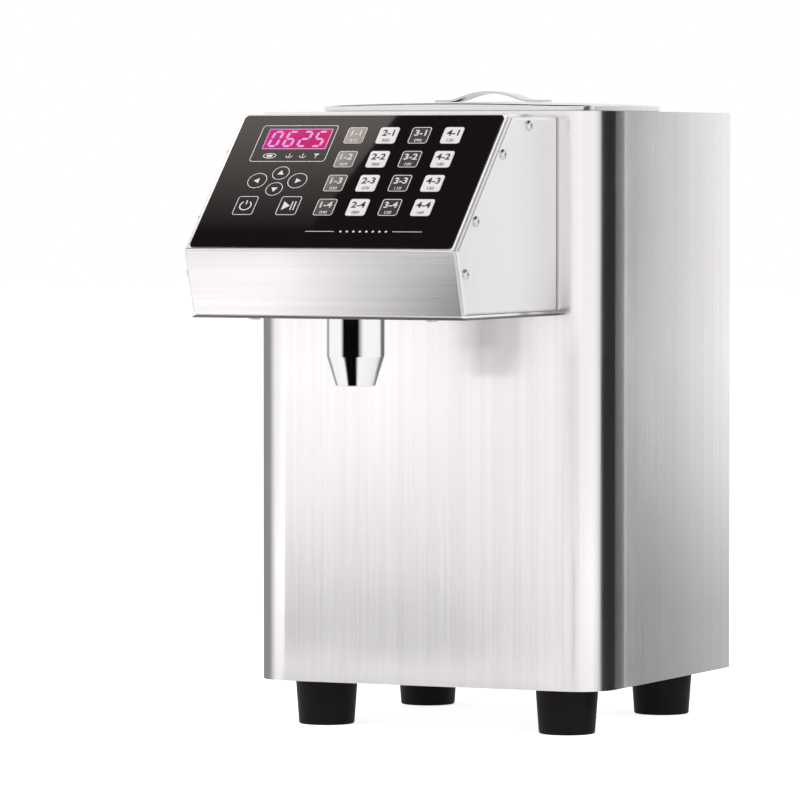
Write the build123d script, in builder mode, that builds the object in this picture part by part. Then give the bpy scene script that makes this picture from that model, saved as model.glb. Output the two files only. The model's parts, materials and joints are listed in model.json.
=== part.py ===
"""Countertop fructose dispenser: a sheet-steel column with an overhanging keypad head.

Millimetres.  +X is to the right of someone facing the machine, +Y runs to its back, +Z is up.
The origin is on the surface it stands on, at the centre of the machine's plan.
"""

import os
from math import acos, atan, cos, hypot, pi, radians, sin, tan

from build123d import *

os.makedirs("parts", exist_ok=True)

# ---------------------------------------------------------------- driving dimensions

# Sheet work and general fits
sheet = 1.2  # folded casing sheet
floor_sheet = 2.0  # base plate
bend_radius = 2.2
seat_gap = 0.2  # between a fitted plate and the sheet around it
flange_width = 14.0

# Column
column_width = 280.0
column_depth = 250.0
column_corner = 28.0
column_top = 452.8  # height of the column's top edge
edge_flange_height = 10.0

# Feet
foot_height = 34.0
foot_top_diameter = 46.0
foot_bottom_diameter = 41.0
foot_side_inset = 43.0  # foot axis in from the column's sides
foot_front_inset = 40.0
foot_rear_inset = 30.0
foot_bolt_diameter = 5.0
foot_bolt_head_diameter = 10.0
foot_bolt_head_height = 4.0
foot_edge = 1.5
foot_pocket_diameter = 14.0
foot_pocket_depth = 14.0
weld_nut_diameter = 13.0
weld_nut_height = 6.0

# Head
head_width = 208.0
head_height = 143.0
head_drop = 2.8  # head's top below the column's top
face_height = 47.5  # bottom to the crease between front face and keypad slope
chin_reach = 162.0  # bottom front crease ahead of the column
brow_reach = 82.0  # top front crease ahead of the column
face_reach = 176.5  # foremost crease ahead of the column
head_flange = 20.0
head_mount_x = 78.0
head_mount_bottom_inset = 12.0
head_mount_top_inset = 16.0
chin_screw_x = 69.5
chin_screw_setback = 26.0
cable_window_width = 90.0
cable_window_height = 64.0
cable_window_rise = 65.0  # its middle above the head's bottom

# Side cheeks
cheek_depth = 3.0
cheek_wall = 1.0
cheek_inset = 1.8
cheek_rim = 6.0
cheek_rim_radius = 2.4
cheek_column_gap = 1.5
cheek_screw_inset = 8.0

# Keypad, laid out on the slope: u across from its middle, v up from the slope's lower crease
overlay_thickness = 0.8
overlay_side_margin = 2.0
overlay_end_margin = 1.7
overlay_corner = 3.0
key_gap = 0.25
key_proud = 0.2
key_travel = 0.5
key_flange_width = 1.3
key_flange_thickness = 1.0
key_flange_gap = 0.3
portion_columns = 4
portion_rows = 4
portion_pitch_u = 25.2
portion_pitch_v = 23.8
portion_first_u = -7.9
portion_top_v = 112.3
portion_key_width = 15.0
portion_key_height = 16.2
key_corner = 2.0
arrow_u = -54.2
arrow_up_v = 74.5
arrow_down_v = 58.7
arrow_diameter = 13.2
side_key_v = 67.0
side_key_left_u = -70.4
side_key_right_u = -38.6
side_key_diameter = 15.0
square_key_v = 42.2
square_key_left_u = -71.2
square_key_right_u = -37.0
square_key_width = 16.0
square_key_height = 18.4

# Display
window_width = 50.5
window_height = 20.5
window_u = -52.7
window_v = 109.0
window_gap = 0.2
module_margin = 2.0

# Control board
board_thickness = 1.6
board_drop = 8.0  # board face below the slope's outer face
board_side_margin = 5.0
board_end_margin = 7.0
board_post_diameter = 6.0
board_post_side_inset = 5.0
board_post_end_inset = 5.0
switch_size = 6.0
switch_height = 2.8
switch_plunger_diameter = 3.4
switch_gap = 0.1  # left over when a key is fully pressed

# Nozzle
nozzle_reach = 115.0
nozzle_diameter = 41.5
nozzle_tip_diameter = 28.5
nozzle_cylinder = 29.0
nozzle_taper = 21.0
nozzle_edge = 0.6
nozzle_outlet_diameter = 20.0
nozzle_outlet_depth = 9.0
nozzle_neck_diameter = 20.0
nozzle_neck_height = 14.0
nozzle_nut_flats = 27.0
nozzle_nut_height = 8.0
thread_gap = 0.1

# Tank
tank_width = 200.0
tank_depth = 172.0
tank_height = 240.0
tank_corner = 28.0
tank_floor_radius = 6.0
tank_rim = 6.0
tank_mouth_gap = 0.3
spout_side_inset = 18.0  # spout's axis in from the tank's side
spout_bore = 9.0
spout_length = 22.0
strainer_diameter = 22.0
strainer_height = 9.0
strainer_wall = 0.8
strainer_hole = 2.6

# Lid and its strap handle
lid_sheet = 1.0
lid_skirt_gap = 1.0  # skirt edge above the column's top
lid_side_gap = 1.0  # skirt outside the tank's rim
lid_rise = 7.7  # middle of the lid above the column's top
lid_dome_radius = 2600.0
lid_edge_radius = 1.2
lid_ring_gap = 1.0
lid_ring_drop = 7.0
lid_ring_wall = 1.0
seal_width = 4.5
seal_gap = 0.1
handle_width = 20.0
handle_thickness = 1.5
handle_rise = 6.5  # strap's middle line at its crown, above where it lies on the lid
handle_half_span = 34.0
handle_foot_length = 9.0
handle_foot_arc = 30.0

# Hoses
hose_bore = 12.0
hose_wall = 2.0
barb_gap = 0.1
barb_length = 20.0
suction_bend = 34.0
hose_side_inset = 68.0  # delivery hose in from the column's side
hose_front_gap = 20.0  # hose middle line behind the column's front sheet
hose_rise_start = 45.0  # start of its upright run above the pump
hose_rise_end = 72.0  # end of that run below the window's middle
hose_bends = (24.0, 40.0, 60.0, 28.0, 28.0)
hose_end_gap = 0.5
clamp_width = 9.0
clamp_thickness = 1.0
clamp_screw_size = 8.0
clamp_screw_length = 13.0

# Gear pump
pump_height = 105.0  # middle of the pump above the surface
pump_setback = 75.0  # middle of the pump behind the column's front
pump_width = 48.0
pump_tall = 64.0
pump_thick = 22.0
pump_corner = 4.0
pump_screw_inset = 5.0
pump_cover_thick = 7.0
pump_port_bore = 8.0
gear_module = 2.0
gear_teeth = 12
gear_width = 14.0
gear_side_gap = 0.06
gear_tip_gap = 0.15
gear_backlash = 0.16
shaft_diameter = 8.0
shaft_gap = 0.05
shaft_bearing_depth = 5.0
shaft_end_gap = 0.3
idler_rear_bearing = 5.0
motor_bore_depth = 20.0
motor_diameter = 60.0
motor_length = 88.0
motor_boss_diameter = 18.0
motor_cap_diameter = 36.0
motor_cap_length = 8.0
bracket_thick = 3.0
bracket_width = 78.0
bracket_foot = 62.0
bracket_head_room = 6.0
bracket_screw_inset = 10.0

# Heater pad under the tank
heater_width = 146.0
heater_depth = 128.0
heater_thick = 2.0
heater_corner = 6.0
heater_shift = 16.0

# Power board
power_board_width = 84.0
power_board_depth = 100.0
power_board_side_inset = 52.0
power_board_setback = 168.0
power_post_height = 8.0
power_post_diameter = 6.0
power_post_inset = 5.0
transformer_size = (44.0, 38.0, 32.0)
transformer_place = (10.0, 16.0)
capacitor_diameter = 16.0
capacitor_height = 25.0
capacitor_places = ((-26.0, 8.0), (-26.0, 28.0))
terminal_size = (56.0, 11.0, 13.0)
terminal_place = (0.0, -32.0)

# Mains inlet and switch, on the back panel
inlet_side_inset = 56.0
inlet_height = 86.0
inlet_flange_width = 34.0
inlet_flange_height = 27.0
inlet_flange = 3.0
inlet_corner = 3.0
inlet_body_width = 28.0
inlet_body_height = 21.0
inlet_body_depth = 24.0
inlet_cavity_width = 24.6
inlet_cavity_height = 17.6
inlet_cavity_depth = 16.0
inlet_cavity_chamfer = 4.0
inlet_pin_width = 2.0
inlet_pin_height = 4.0
inlet_pin_length = 13.0
inlet_pin_spacing = 7.0
switch_panel_height = 132.0
switch_flange_width = 22.0
switch_flange_height = 31.0
switch_flange = 2.0
switch_corner = 2.0
switch_body_width = 18.0
switch_body_height = 27.0
switch_body_depth = 20.0
switch_cavity_depth = 9.0
rocker_width = 14.0
rocker_height = 22.6
rocker_end = 1.2  # pressing face above the pivot, at its ends
rocker_dip = 0.2  # and in its middle
rocker_side = 1.5
rocker_root = 5.0
rocker_pivot_depth = 1.5
rocker_tilt = 9.0
rocker_gap = 0.5
rocker_pin_diameter = 2.8
rocker_pin_length = 1.3

# Back panel
panel_margin = 2.0
panel_screw_rows = 4
panel_screw_inset = 20.0
vent_count = 7
vent_length = 60.0
vent_width = 4.0
vent_pitch = 10.0
vent_side_inset = 78.0
vent_middle = 150.0

# Pan-head screws: head diameter, head height, shank diameter, shank length
case_screw = (7.5, 2.2, 3.5, 8.0)
chin_screw = (10.0, 3.2, 5.0, 8.0)
board_screw = (5.6, 1.8, 2.8, 5.0)
pump_screw = (6.5, 2.6, 3.5, 31.0)
screw_gap = 0.1
screw_end_gap = 0.5
screw_post_diameter = 8.0

# ---------------------------------------------------------------- derived places

rocker_proud = (
    switch_flange
    - rocker_pivot_depth
    + rocker_end * cos(radians(rocker_tilt))
    + rocker_height / 2 * sin(radians(rocker_tilt))
)
rear_proud = sheet + max(inlet_flange, rocker_proud)
front_y = (face_reach - column_depth - rear_proud) / 2
back_y = front_y + column_depth
middle_y = front_y + column_depth / 2
column_height = column_top - foot_height
side_x = column_width / 2
head_side_x = head_width / 2
head_top = column_top - head_drop
head_bottom = head_top - head_height
face_top = head_bottom + face_height
cable_window_middle = head_bottom + cable_window_rise
cheek_side_x = head_side_x + cheek_depth

head_outline = [
    (front_y, head_bottom),
    (front_y - chin_reach, head_bottom),
    (front_y - face_reach, face_top),
    (front_y - brow_reach, head_top),
    (front_y, head_top),
]
slope_run = face_reach - brow_reach
slope_rise = head_top - face_top
slope_length = hypot(slope_run, slope_rise)
slope = Plane(
    origin=(0, front_y - face_reach, face_top),
    x_dir=(1, 0, 0),
    z_dir=(0, -slope_rise / slope_length, slope_run / slope_length),
)
overlay_width = head_width - 2 * overlay_side_margin
overlay_length = slope_length - 2 * overlay_end_margin

foot_x = side_x - foot_side_inset
foot_front_y = front_y + foot_front_inset
foot_rear_y = back_y - foot_rear_inset
foot_places = {
    "foot_front_left": (-foot_x, foot_front_y),
    "foot_front_right": (foot_x, foot_front_y),
    "foot_rear_left": (-foot_x, foot_rear_y),
    "foot_rear_right": (foot_x, foot_rear_y),
}

tank_top = column_top + sheet
tank_bottom = column_top - tank_height
spout_x = spout_side_inset - tank_width / 2
rim_width = tank_width + 2 * tank_rim
rim_depth = tank_depth + 2 * tank_rim
rim_corner = tank_corner + tank_rim
lid_width = rim_width + 2 * (lid_side_gap + lid_sheet)
lid_depth = rim_depth + 2 * (lid_side_gap + lid_sheet)
lid_corner = rim_corner + lid_side_gap + lid_sheet
lid_bottom = column_top + lid_skirt_gap
lid_crown = column_top + lid_rise

nozzle_y = front_y - nozzle_reach
pump_y = front_y + pump_setback
pump_front_y = pump_y - pump_thick / 2
pump_back_y = pump_y + pump_thick / 2
gear_pitch_radius = gear_module * gear_teeth / 2
gear_tip_radius = gear_pitch_radius + gear_module
drive_z = pump_height + gear_pitch_radius
idler_z = pump_height - gear_pitch_radius
floor_top = foot_height + floor_sheet
barb_diameter = hose_bore - 2 * barb_gap
hose_diameter = hose_bore + 2 * hose_wall

portion_keys = {
    f"key_{column + 1}_{row + 1}": (
        portion_first_u + column * portion_pitch_u,
        portion_top_v - row * portion_pitch_v,
    )
    for column in range(portion_columns)
    for row in range(portion_rows)
}
round_keys = {
    "key_up": (arrow_u, arrow_up_v, arrow_diameter),
    "key_down": (arrow_u, arrow_down_v, arrow_diameter),
    "key_left": (side_key_left_u, side_key_v, side_key_diameter),
    "key_right": (side_key_right_u, side_key_v, side_key_diameter),
}
square_keys = {
    "key_clear": (square_key_left_u, square_key_v),
    "key_enter": (square_key_right_u, square_key_v),
}

# ---------------------------------------------------------------- helpers


def save(builder, name):
    """Label a finished piece and write it to its own file."""
    builder.part.label = name
    export_step(builder.part, f"parts/{name}.step")


def column_plan(inset):
    """Draw the column's plan, moved in by inset, in the open sketch."""
    with Locations((0, middle_y)):
        plan = Rectangle(column_width - 2 * inset, column_depth - 2 * inset)
    front = plan.vertices().sort_by(Axis.Y)[:2]
    if column_corner > inset:
        fillet(front, column_corner - inset)


def rounded_plan(width, depth, corner, mode=Mode.ADD):
    """Draw a rounded rectangle on the tank's middle in the open sketch."""
    with Locations((0, middle_y)):
        RectangleRounded(width, depth, corner, mode=mode)


def head_face(inset):
    """Draw the head's side outline, moved in by inset, in the open sketch."""
    with BuildLine() as outline:
        Polyline(*head_outline, close=True)
    make_face(outline.edges())
    creases = vertices().sort_by(Axis.X)[:3]
    fillet(creases, bend_radius)
    if inset:
        offset(amount=-inset, kind=Kind.INTERSECTION)


def pan_screw(size):
    """A cross-recessed pan-head screw, its head standing on the XY plane."""
    head_diameter, head_height, shank_diameter, shank_length = size
    with BuildPart() as screw:
        with BuildSketch():
            Circle(head_diameter / 2)
        extrude(amount=head_height)
        fillet(screw.faces().sort_by(Axis.Z)[-1].edges(), 0.75 * head_height)
        with BuildSketch():
            Circle(shank_diameter / 2)
        extrude(amount=-shank_length)
        with BuildSketch(Plane.XY.offset(head_height)):
            Rectangle(0.52 * head_diameter, 0.13 * head_diameter)
            Rectangle(0.13 * head_diameter, 0.52 * head_diameter)
        extrude(amount=-0.55 * head_height, mode=Mode.SUBTRACT)
    return screw.part


def drill(planes, radius, depth):
    """Cut a round hole into the open part at each plane, inwards from its origin."""
    for plane in planes:
        with BuildSketch(plane) as hole:
            Circle(radius)
        extrude(hole.sketch, amount=-depth, mode=Mode.SUBTRACT)


def screw_hole(size):
    """Radius of the clearance hole for a screw."""
    return size[2] / 2 + screw_gap


# ---------------------------------------------------------------- screw seats


def on_cheek(side, start, end, share):
    """Seat on a cheek, beside the outline's edge from start to end, at a share of its length."""
    (y0, z0), (y1, z1) = start, end
    length = hypot(y1 - y0, z1 - z0)
    inward_y, inward_z = (z1 - z0) / length, -(y1 - y0) / length
    y = y0 + share * (y1 - y0) + cheek_screw_inset * inward_y
    z = z0 + share * (z1 - z0) + cheek_screw_inset * inward_z
    return Plane(origin=(side * cheek_side_x, y, z), x_dir=(0, side, 0), z_dir=(side, 0, 0))


chin, face, brow, crown = head_outline[1:]
cheek_seats = [
    on_cheek(side, start, end, share)
    for side in (-1, 1)
    for start, end, share in (
        (chin, face, 0.6),
        (face, brow, 0.27),
        (face, brow, 0.76),
        (brow, crown, 0.35),
    )
]
chin_seats = [
    Plane(origin=(x, front_y - chin_reach + chin_screw_setback, head_bottom), z_dir=(0, 0, -1))
    for x in (-chin_screw_x, chin_screw_x)
]
head_mount_seats = [
    Plane(origin=(x, front_y + sheet, z), x_dir=(1, 0, 0), z_dir=(0, 1, 0))
    for x in (-head_mount_x, head_mount_x)
    for z in (head_bottom + head_mount_bottom_inset, head_top - head_mount_top_inset)
]
panel_bottom = foot_height + panel_margin
panel_top = column_top - panel_margin
panel_screw_x = side_x - flange_width / 2
panel_screw_pitch = (panel_top - panel_bottom - 2 * panel_screw_inset) / (panel_screw_rows - 1)
panel_seats = [
    Plane(
        origin=(x, back_y + sheet, panel_bottom + panel_screw_inset + row * panel_screw_pitch),
        x_dir=(1, 0, 0),
        z_dir=(0, 1, 0),
    )
    for x in (-panel_screw_x, panel_screw_x)
    for row in range(panel_screw_rows)
]
board_half_width = head_side_x - sheet - board_side_margin
board_posts = [
    (u, v)
    for u in (-board_half_width + board_post_side_inset, board_half_width - board_post_side_inset)
    for v in (board_end_margin + board_post_end_inset, slope_length - board_end_margin - board_post_end_inset)
]
board_seats = [
    Plane(
        origin=slope.from_local_coords((u, v, -board_drop - board_thickness)),
        x_dir=(1, 0, 0),
        z_dir=-slope.z_dir,
    )
    for u, v in board_posts
]
power_post_top = floor_top + power_post_height + board_thickness
power_board_x = side_x - power_board_side_inset
power_board_y = front_y + power_board_setback
power_seats = [
    Plane.XY.offset(power_post_top).move(
        Location(
            (
                power_board_x + u * (power_board_width / 2 - power_post_inset),
                power_board_y + v * (power_board_depth / 2 - power_post_inset),
                0,
            )
        )
    )
    for u in (-1, 1)
    for v in (-1, 1)
]
pump_cover_y = pump_front_y - pump_cover_thick
pump_seats = [
    Plane(
        origin=(
            u * (pump_width / 2 - pump_screw_inset),
            pump_cover_y,
            pump_height + v * (pump_tall / 2 - pump_screw_inset),
        ),
        x_dir=(1, 0, 0),
        z_dir=(0, -1, 0),
    )
    for u in (-1, 1)
    for v in (-1, 1)
]
bracket_foot_top = floor_top + bracket_thick
bracket_back_y = pump_back_y + bracket_thick
bracket_seats = [
    Plane.XY.offset(bracket_foot_top).move(
        Location((u * (bracket_width / 2 - bracket_screw_inset), pump_back_y + y, 0))
    )
    for u in (-1, 1)
    for y in (bracket_thick + bracket_screw_inset, bracket_foot - bracket_screw_inset)
]

# ---------------------------------------------------------------- column

with BuildPart() as body_shell:
    with BuildSketch(Plane.XY.offset(foot_height)):
        column_plan(0)
    extrude(amount=column_height)
    with BuildSketch(Plane.XY.offset(foot_height)):
        column_plan(sheet)
    extrude(amount=column_height, mode=Mode.SUBTRACT)
    with BuildSketch(Plane.XZ.offset(-back_y)):
        with Locations((0, foot_height + column_height / 2)):
            Rectangle(column_width - 2 * flange_width, column_height - 2 * flange_width)
    extrude(amount=sheet, mode=Mode.SUBTRACT)
    with BuildSketch(Plane.XZ.offset(-front_y - sheet)):
        with Locations((0, cable_window_middle)):
            RectangleRounded(cable_window_width, cable_window_height, bend_radius)
    extrude(amount=sheet, mode=Mode.SUBTRACT)
    drill(head_mount_seats, screw_hole(case_screw), sheet)
    drill(panel_seats, screw_hole(case_screw), 2 * sheet)
save(body_shell, "body_shell")

with BuildPart() as base_plate:
    with BuildSketch(Plane.XY.offset(foot_height)):
        column_plan(sheet + seat_gap)
    extrude(amount=floor_sheet + edge_flange_height)
    with BuildSketch(Plane.XY.offset(floor_top)):
        column_plan(2 * sheet + seat_gap)
    extrude(amount=edge_flange_height, mode=Mode.SUBTRACT)
    with BuildSketch(Plane.XY.offset(floor_top)):
        with Locations(*foot_places.values()):
            Circle(weld_nut_diameter / 2)
    extrude(amount=weld_nut_height)
    with BuildSketch(Plane.XY.offset(foot_height)):
        with Locations(*foot_places.values()):
            Circle(foot_bolt_diameter / 2 + thread_gap)
    extrude(amount=floor_sheet + weld_nut_height, mode=Mode.SUBTRACT)
    with BuildSketch(Plane.XY.offset(floor_top)):
        with Locations(*[plane.origin for plane in power_seats]):
            Circle(power_post_diameter / 2)
    extrude(amount=power_post_height)
    drill(power_seats, screw_hole(board_screw), board_screw[3] + screw_end_gap)
    drill(bracket_seats, screw_hole(case_screw), case_screw[3])
save(base_plate, "base_plate")

with BuildPart() as top_plate:
    with BuildSketch(Plane.XY.offset(column_top)):
        column_plan(sheet + seat_gap)
    extrude(amount=-edge_flange_height)
    with BuildSketch(Plane.XY.offset(column_top - sheet)):
        column_plan(2 * sheet + seat_gap)
    extrude(amount=-edge_flange_height, mode=Mode.SUBTRACT)
    with BuildSketch(Plane.XY.offset(column_top)):
        rounded_plan(
            tank_width + 2 * tank_mouth_gap,
            tank_depth + 2 * tank_mouth_gap,
            tank_corner + tank_mouth_gap,
        )
    extrude(amount=-sheet, mode=Mode.SUBTRACT)
save(top_plate, "top_plate")

inlet_x = inlet_side_inset - side_x
vent_x = side_x - vent_side_inset
inlet_plane = Plane(origin=(inlet_x, back_y + sheet, inlet_height), x_dir=(-1, 0, 0), z_dir=(0, 1, 0))
switch_plane = Plane(
    origin=(inlet_x, back_y + sheet, switch_panel_height), x_dir=(-1, 0, 0), z_dir=(0, 1, 0)
)
with BuildPart() as back_panel:
    with BuildSketch(Plane.XZ.offset(-back_y)):
        with Locations((0, (panel_bottom + panel_top) / 2)):
            Rectangle(column_width - 2 * panel_margin, panel_top - panel_bottom)
    extrude(amount=-sheet)
    with BuildSketch(inlet_plane):
        Rectangle(inlet_body_width + 2 * seat_gap, inlet_body_height + 2 * seat_gap)
    extrude(amount=-sheet, mode=Mode.SUBTRACT)
    with BuildSketch(switch_plane):
        Rectangle(switch_body_width + 2 * seat_gap, switch_body_height + 2 * seat_gap)
    extrude(amount=-sheet, mode=Mode.SUBTRACT)
    with BuildSketch(Plane.XZ.offset(-back_y)):
        with Locations((vent_x, vent_middle)):
            with GridLocations(0, vent_pitch, 1, vent_count):
                SlotOverall(vent_length, vent_width)
    extrude(amount=-sheet, mode=Mode.SUBTRACT)
    drill(panel_seats, screw_hole(case_screw), sheet)
save(back_panel, "back_panel")

# ---------------------------------------------------------------- feet

for name, (x, y) in foot_places.items():
    with BuildPart() as foot:
        with BuildSketch(Plane.XY.move(Location((x, y, 0)))):
            Circle(foot_bottom_diameter / 2)
        with BuildSketch(Plane.XY.move(Location((x, y, foot_height)))):
            Circle(foot_top_diameter / 2)
        loft()
        fillet(foot.faces().sort_by(Axis.Z)[0].edges(), foot_edge)
        with BuildSketch(Plane.XY.move(Location((x, y, 0)))):
            Circle(foot_pocket_diameter / 2)
        extrude(amount=foot_pocket_depth, mode=Mode.SUBTRACT)
        with BuildSketch(Plane.XY.move(Location((x, y, 0)))):
            Circle(foot_bolt_diameter / 2 + thread_gap)
        extrude(amount=foot_height, mode=Mode.SUBTRACT)
    save(foot, name)

with BuildPart() as foot_bolts:
    with BuildSketch(Plane.XY.offset(foot_pocket_depth)):
        with Locations(*foot_places.values()):
            RegularPolygon(foot_bolt_head_diameter / 2, 6)
    extrude(amount=-foot_bolt_head_height)
    with BuildSketch(Plane.XY.offset(foot_pocket_depth)):
        with Locations(*foot_places.values()):
            Circle(foot_bolt_diameter / 2)
    extrude(amount=foot_height - foot_pocket_depth + floor_sheet + weld_nut_height)
save(foot_bolts, "foot_bolts")

# ---------------------------------------------------------------- head


def key_outlines(grow):
    """Draw every key's outline, grown by a margin, in the open sketch on the slope."""
    with Locations(*portion_keys.values()):
        RectangleRounded(portion_key_width + 2 * grow, portion_key_height + 2 * grow, key_corner + grow)
    for u, v, diameter in round_keys.values():
        with Locations((u, v)):
            Circle(diameter / 2 + grow)
    with Locations(*square_keys.values()):
        RectangleRounded(square_key_width + 2 * grow, square_key_height + 2 * grow, key_corner + grow)


def window_outline(grow):
    """Draw the display window's outline, grown by a margin, in the open sketch on the slope."""
    with Locations((window_u, window_v)):
        Rectangle(window_width + 2 * grow, window_height + 2 * grow)


with BuildPart() as head_shell:
    with BuildSketch(Plane.YZ):
        head_face(0)
    extrude(amount=head_side_x, both=True)
    with BuildSketch(Plane.YZ):
        head_face(sheet)
    extrude(amount=head_side_x - sheet, both=True, mode=Mode.SUBTRACT)
    with BuildSketch(Plane.YZ):
        head_face(flange_width)
    extrude(amount=head_side_x, both=True, mode=Mode.SUBTRACT)
    with BuildSketch(Plane.XZ.offset(-front_y)):
        with Locations((0, (head_bottom + head_top) / 2)):
            Rectangle(head_width - 2 * head_flange, head_top - head_bottom - 2 * head_flange)
    extrude(amount=sheet, mode=Mode.SUBTRACT)
    with BuildSketch(slope):
        key_outlines(key_gap)
        window_outline(window_gap)
    extrude(amount=-sheet, mode=Mode.SUBTRACT)
    with BuildSketch(slope.offset(-sheet)):
        with Locations(*board_posts):
            Circle(board_post_diameter / 2)
    extrude(amount=sheet - board_drop)
    drill(board_seats, screw_hole(board_screw), board_screw[3] + screw_end_gap)
    with BuildSketch(Plane.XY.offset(head_bottom)):
        with Locations((0, nozzle_y)):
            Circle(nozzle_neck_diameter / 2 + thread_gap)
    extrude(amount=sheet, mode=Mode.SUBTRACT)
    drill(chin_seats, screw_hole(chin_screw), sheet)
    drill(cheek_seats, screw_hole(case_screw), cheek_depth + sheet)
    drill(head_mount_seats, screw_hole(case_screw), 2 * sheet)
save(head_shell, "head_shell")

for name, side in (("head_cheek_left", -1), ("head_cheek_right", 1)):
    outer = Plane.YZ.offset(side * head_side_x)
    seats = [seat for seat in cheek_seats if seat.origin.X * side > 0]
    with BuildPart() as cheek:
        with BuildSketch(outer):
            head_face(cheek_inset)
            with Locations((front_y, (head_bottom + head_top) / 2)):
                Rectangle(2 * cheek_column_gap, head_top, mode=Mode.SUBTRACT)
        extrude(amount=side * cheek_depth)
        rim = cheek.faces().sort_by(Axis.X)[-1 if side > 0 else 0].edges()
        fillet(rim, cheek_rim_radius)
        with BuildSketch(outer):
            head_face(cheek_inset + cheek_rim)
        extrude(amount=side * (cheek_depth - cheek_wall), mode=Mode.SUBTRACT)
        with BuildSketch(outer):
            with Locations(*[(seat.origin.Y, seat.origin.Z) for seat in seats]):
                Circle(screw_post_diameter / 2)
        extrude(amount=side * (cheek_depth - cheek_wall / 2))
        drill(seats, screw_hole(case_screw), cheek_depth)
    save(cheek, name)

with BuildPart() as keypad_overlay:
    with BuildSketch(slope):
        with Locations((0, slope_length / 2)):
            RectangleRounded(overlay_width, overlay_length, overlay_corner)
    extrude(amount=overlay_thickness)
    with BuildSketch(slope):
        key_outlines(key_gap)
        window_outline(window_gap)
    extrude(amount=overlay_thickness, mode=Mode.SUBTRACT)
save(keypad_overlay, "keypad_overlay")

# ---------------------------------------------------------------- keys

key_cap = overlay_thickness + key_proud + sheet + key_flange_gap
key_back = slope.offset(-sheet - key_flange_gap)


def save_key(name, place, outline):
    """One key: a cap through the keypad and a flange that keeps it behind the sheet."""
    with BuildPart() as key:
        with BuildSketch(key_back):
            with Locations(place):
                outline(0)
        extrude(amount=key_cap)
        with BuildSketch(key_back):
            with Locations(place):
                outline(key_flange_width)
        extrude(amount=-key_flange_thickness)
    save(key, name)


for name, place in portion_keys.items():
    save_key(
        name,
        place,
        lambda grow: RectangleRounded(
            portion_key_width + 2 * grow, portion_key_height + 2 * grow, key_corner + grow
        ),
    )
for name, (u, v, diameter) in round_keys.items():
    save_key(name, (u, v), lambda grow, radius=diameter / 2: Circle(radius + grow / 2))
for name, place in square_keys.items():
    save_key(
        name,
        place,
        lambda grow: RectangleRounded(
            square_key_width + 2 * grow, square_key_height + 2 * grow, key_corner + grow
        ),
    )

# ---------------------------------------------------------------- display and control board

with BuildPart() as display_window:
    with BuildSketch(slope.offset(-sheet)):
        window_outline(0)
    extrude(amount=sheet + overlay_thickness)
save(display_window, "display_window")

with BuildPart() as display_module:
    with BuildSketch(slope.offset(-board_drop)):
        window_outline(module_margin)
    extrude(amount=board_drop - sheet - key_flange_gap)
save(display_module, "display_module")

key_places = [(u, v) for u, v, *size in [*portion_keys.values(), *round_keys.values(), *square_keys.values()]]
plunger_top = sheet + key_flange_gap + key_flange_thickness + key_travel + switch_gap
with BuildPart() as control_board:
    with BuildSketch(slope.offset(-board_drop)):
        with Locations((0, slope_length / 2)):
            Rectangle(2 * board_half_width, slope_length - 2 * board_end_margin)
    extrude(amount=-board_thickness)
    with BuildSketch(slope.offset(-board_drop)):
        with Locations(*key_places):
            Rectangle(switch_size, switch_size)
    extrude(amount=switch_height)
    with BuildSketch(slope.offset(-board_drop)):
        with Locations(*key_places):
            Circle(switch_plunger_diameter / 2)
    extrude(amount=board_drop - plunger_top)
    drill(board_seats, screw_hole(board_screw), board_thickness)
save(control_board, "control_board")

# ---------------------------------------------------------------- nozzle

neck_top = head_bottom + nozzle_neck_height
barb_top = neck_top + barb_length
with BuildPart() as nozzle:
    with BuildSketch(Plane.XY.move(Location((0, nozzle_y, head_bottom)))):
        Circle(nozzle_diameter / 2)
    extrude(amount=-nozzle_cylinder)
    cylinder_bottom = head_bottom - nozzle_cylinder
    with BuildSketch(Plane.XY.move(Location((0, nozzle_y, cylinder_bottom)))):
        Circle(nozzle_diameter / 2)
    with BuildSketch(Plane.XY.move(Location((0, nozzle_y, cylinder_bottom - nozzle_taper)))):
        Circle(nozzle_tip_diameter / 2)
    loft()
    fillet(nozzle.faces().sort_by(Axis.Z)[0].edges(), nozzle_edge)
    with BuildSketch(Plane.XY.move(Location((0, nozzle_y, head_bottom)))):
        Circle(nozzle_neck_diameter / 2)
    extrude(amount=nozzle_neck_height)
    with BuildSketch(Plane.XY.move(Location((0, nozzle_y, neck_top)))):
        Circle(barb_diameter / 2)
    extrude(amount=barb_length)
    with BuildSketch(Plane.XY.move(Location((0, nozzle_y, barb_top)))):
        Circle(spout_bore / 2)
    extrude(amount=-(barb_top - cylinder_bottom + nozzle_taper), mode=Mode.SUBTRACT)
    with BuildSketch(Plane.XY.move(Location((0, nozzle_y, cylinder_bottom - nozzle_taper)))):
        Circle(nozzle_outlet_diameter / 2)
    extrude(amount=nozzle_outlet_depth, mode=Mode.SUBTRACT)
save(nozzle, "nozzle")

with BuildPart() as nozzle_nut:
    with BuildSketch(Plane.XY.move(Location((0, nozzle_y, head_bottom + sheet)))):
        RegularPolygon(nozzle_nut_flats / 2, 6, major_radius=False)
        Circle(nozzle_neck_diameter / 2 + thread_gap, mode=Mode.SUBTRACT)
    extrude(amount=nozzle_nut_height)
save(nozzle_nut, "nozzle_nut")

# ---------------------------------------------------------------- tank

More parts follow.
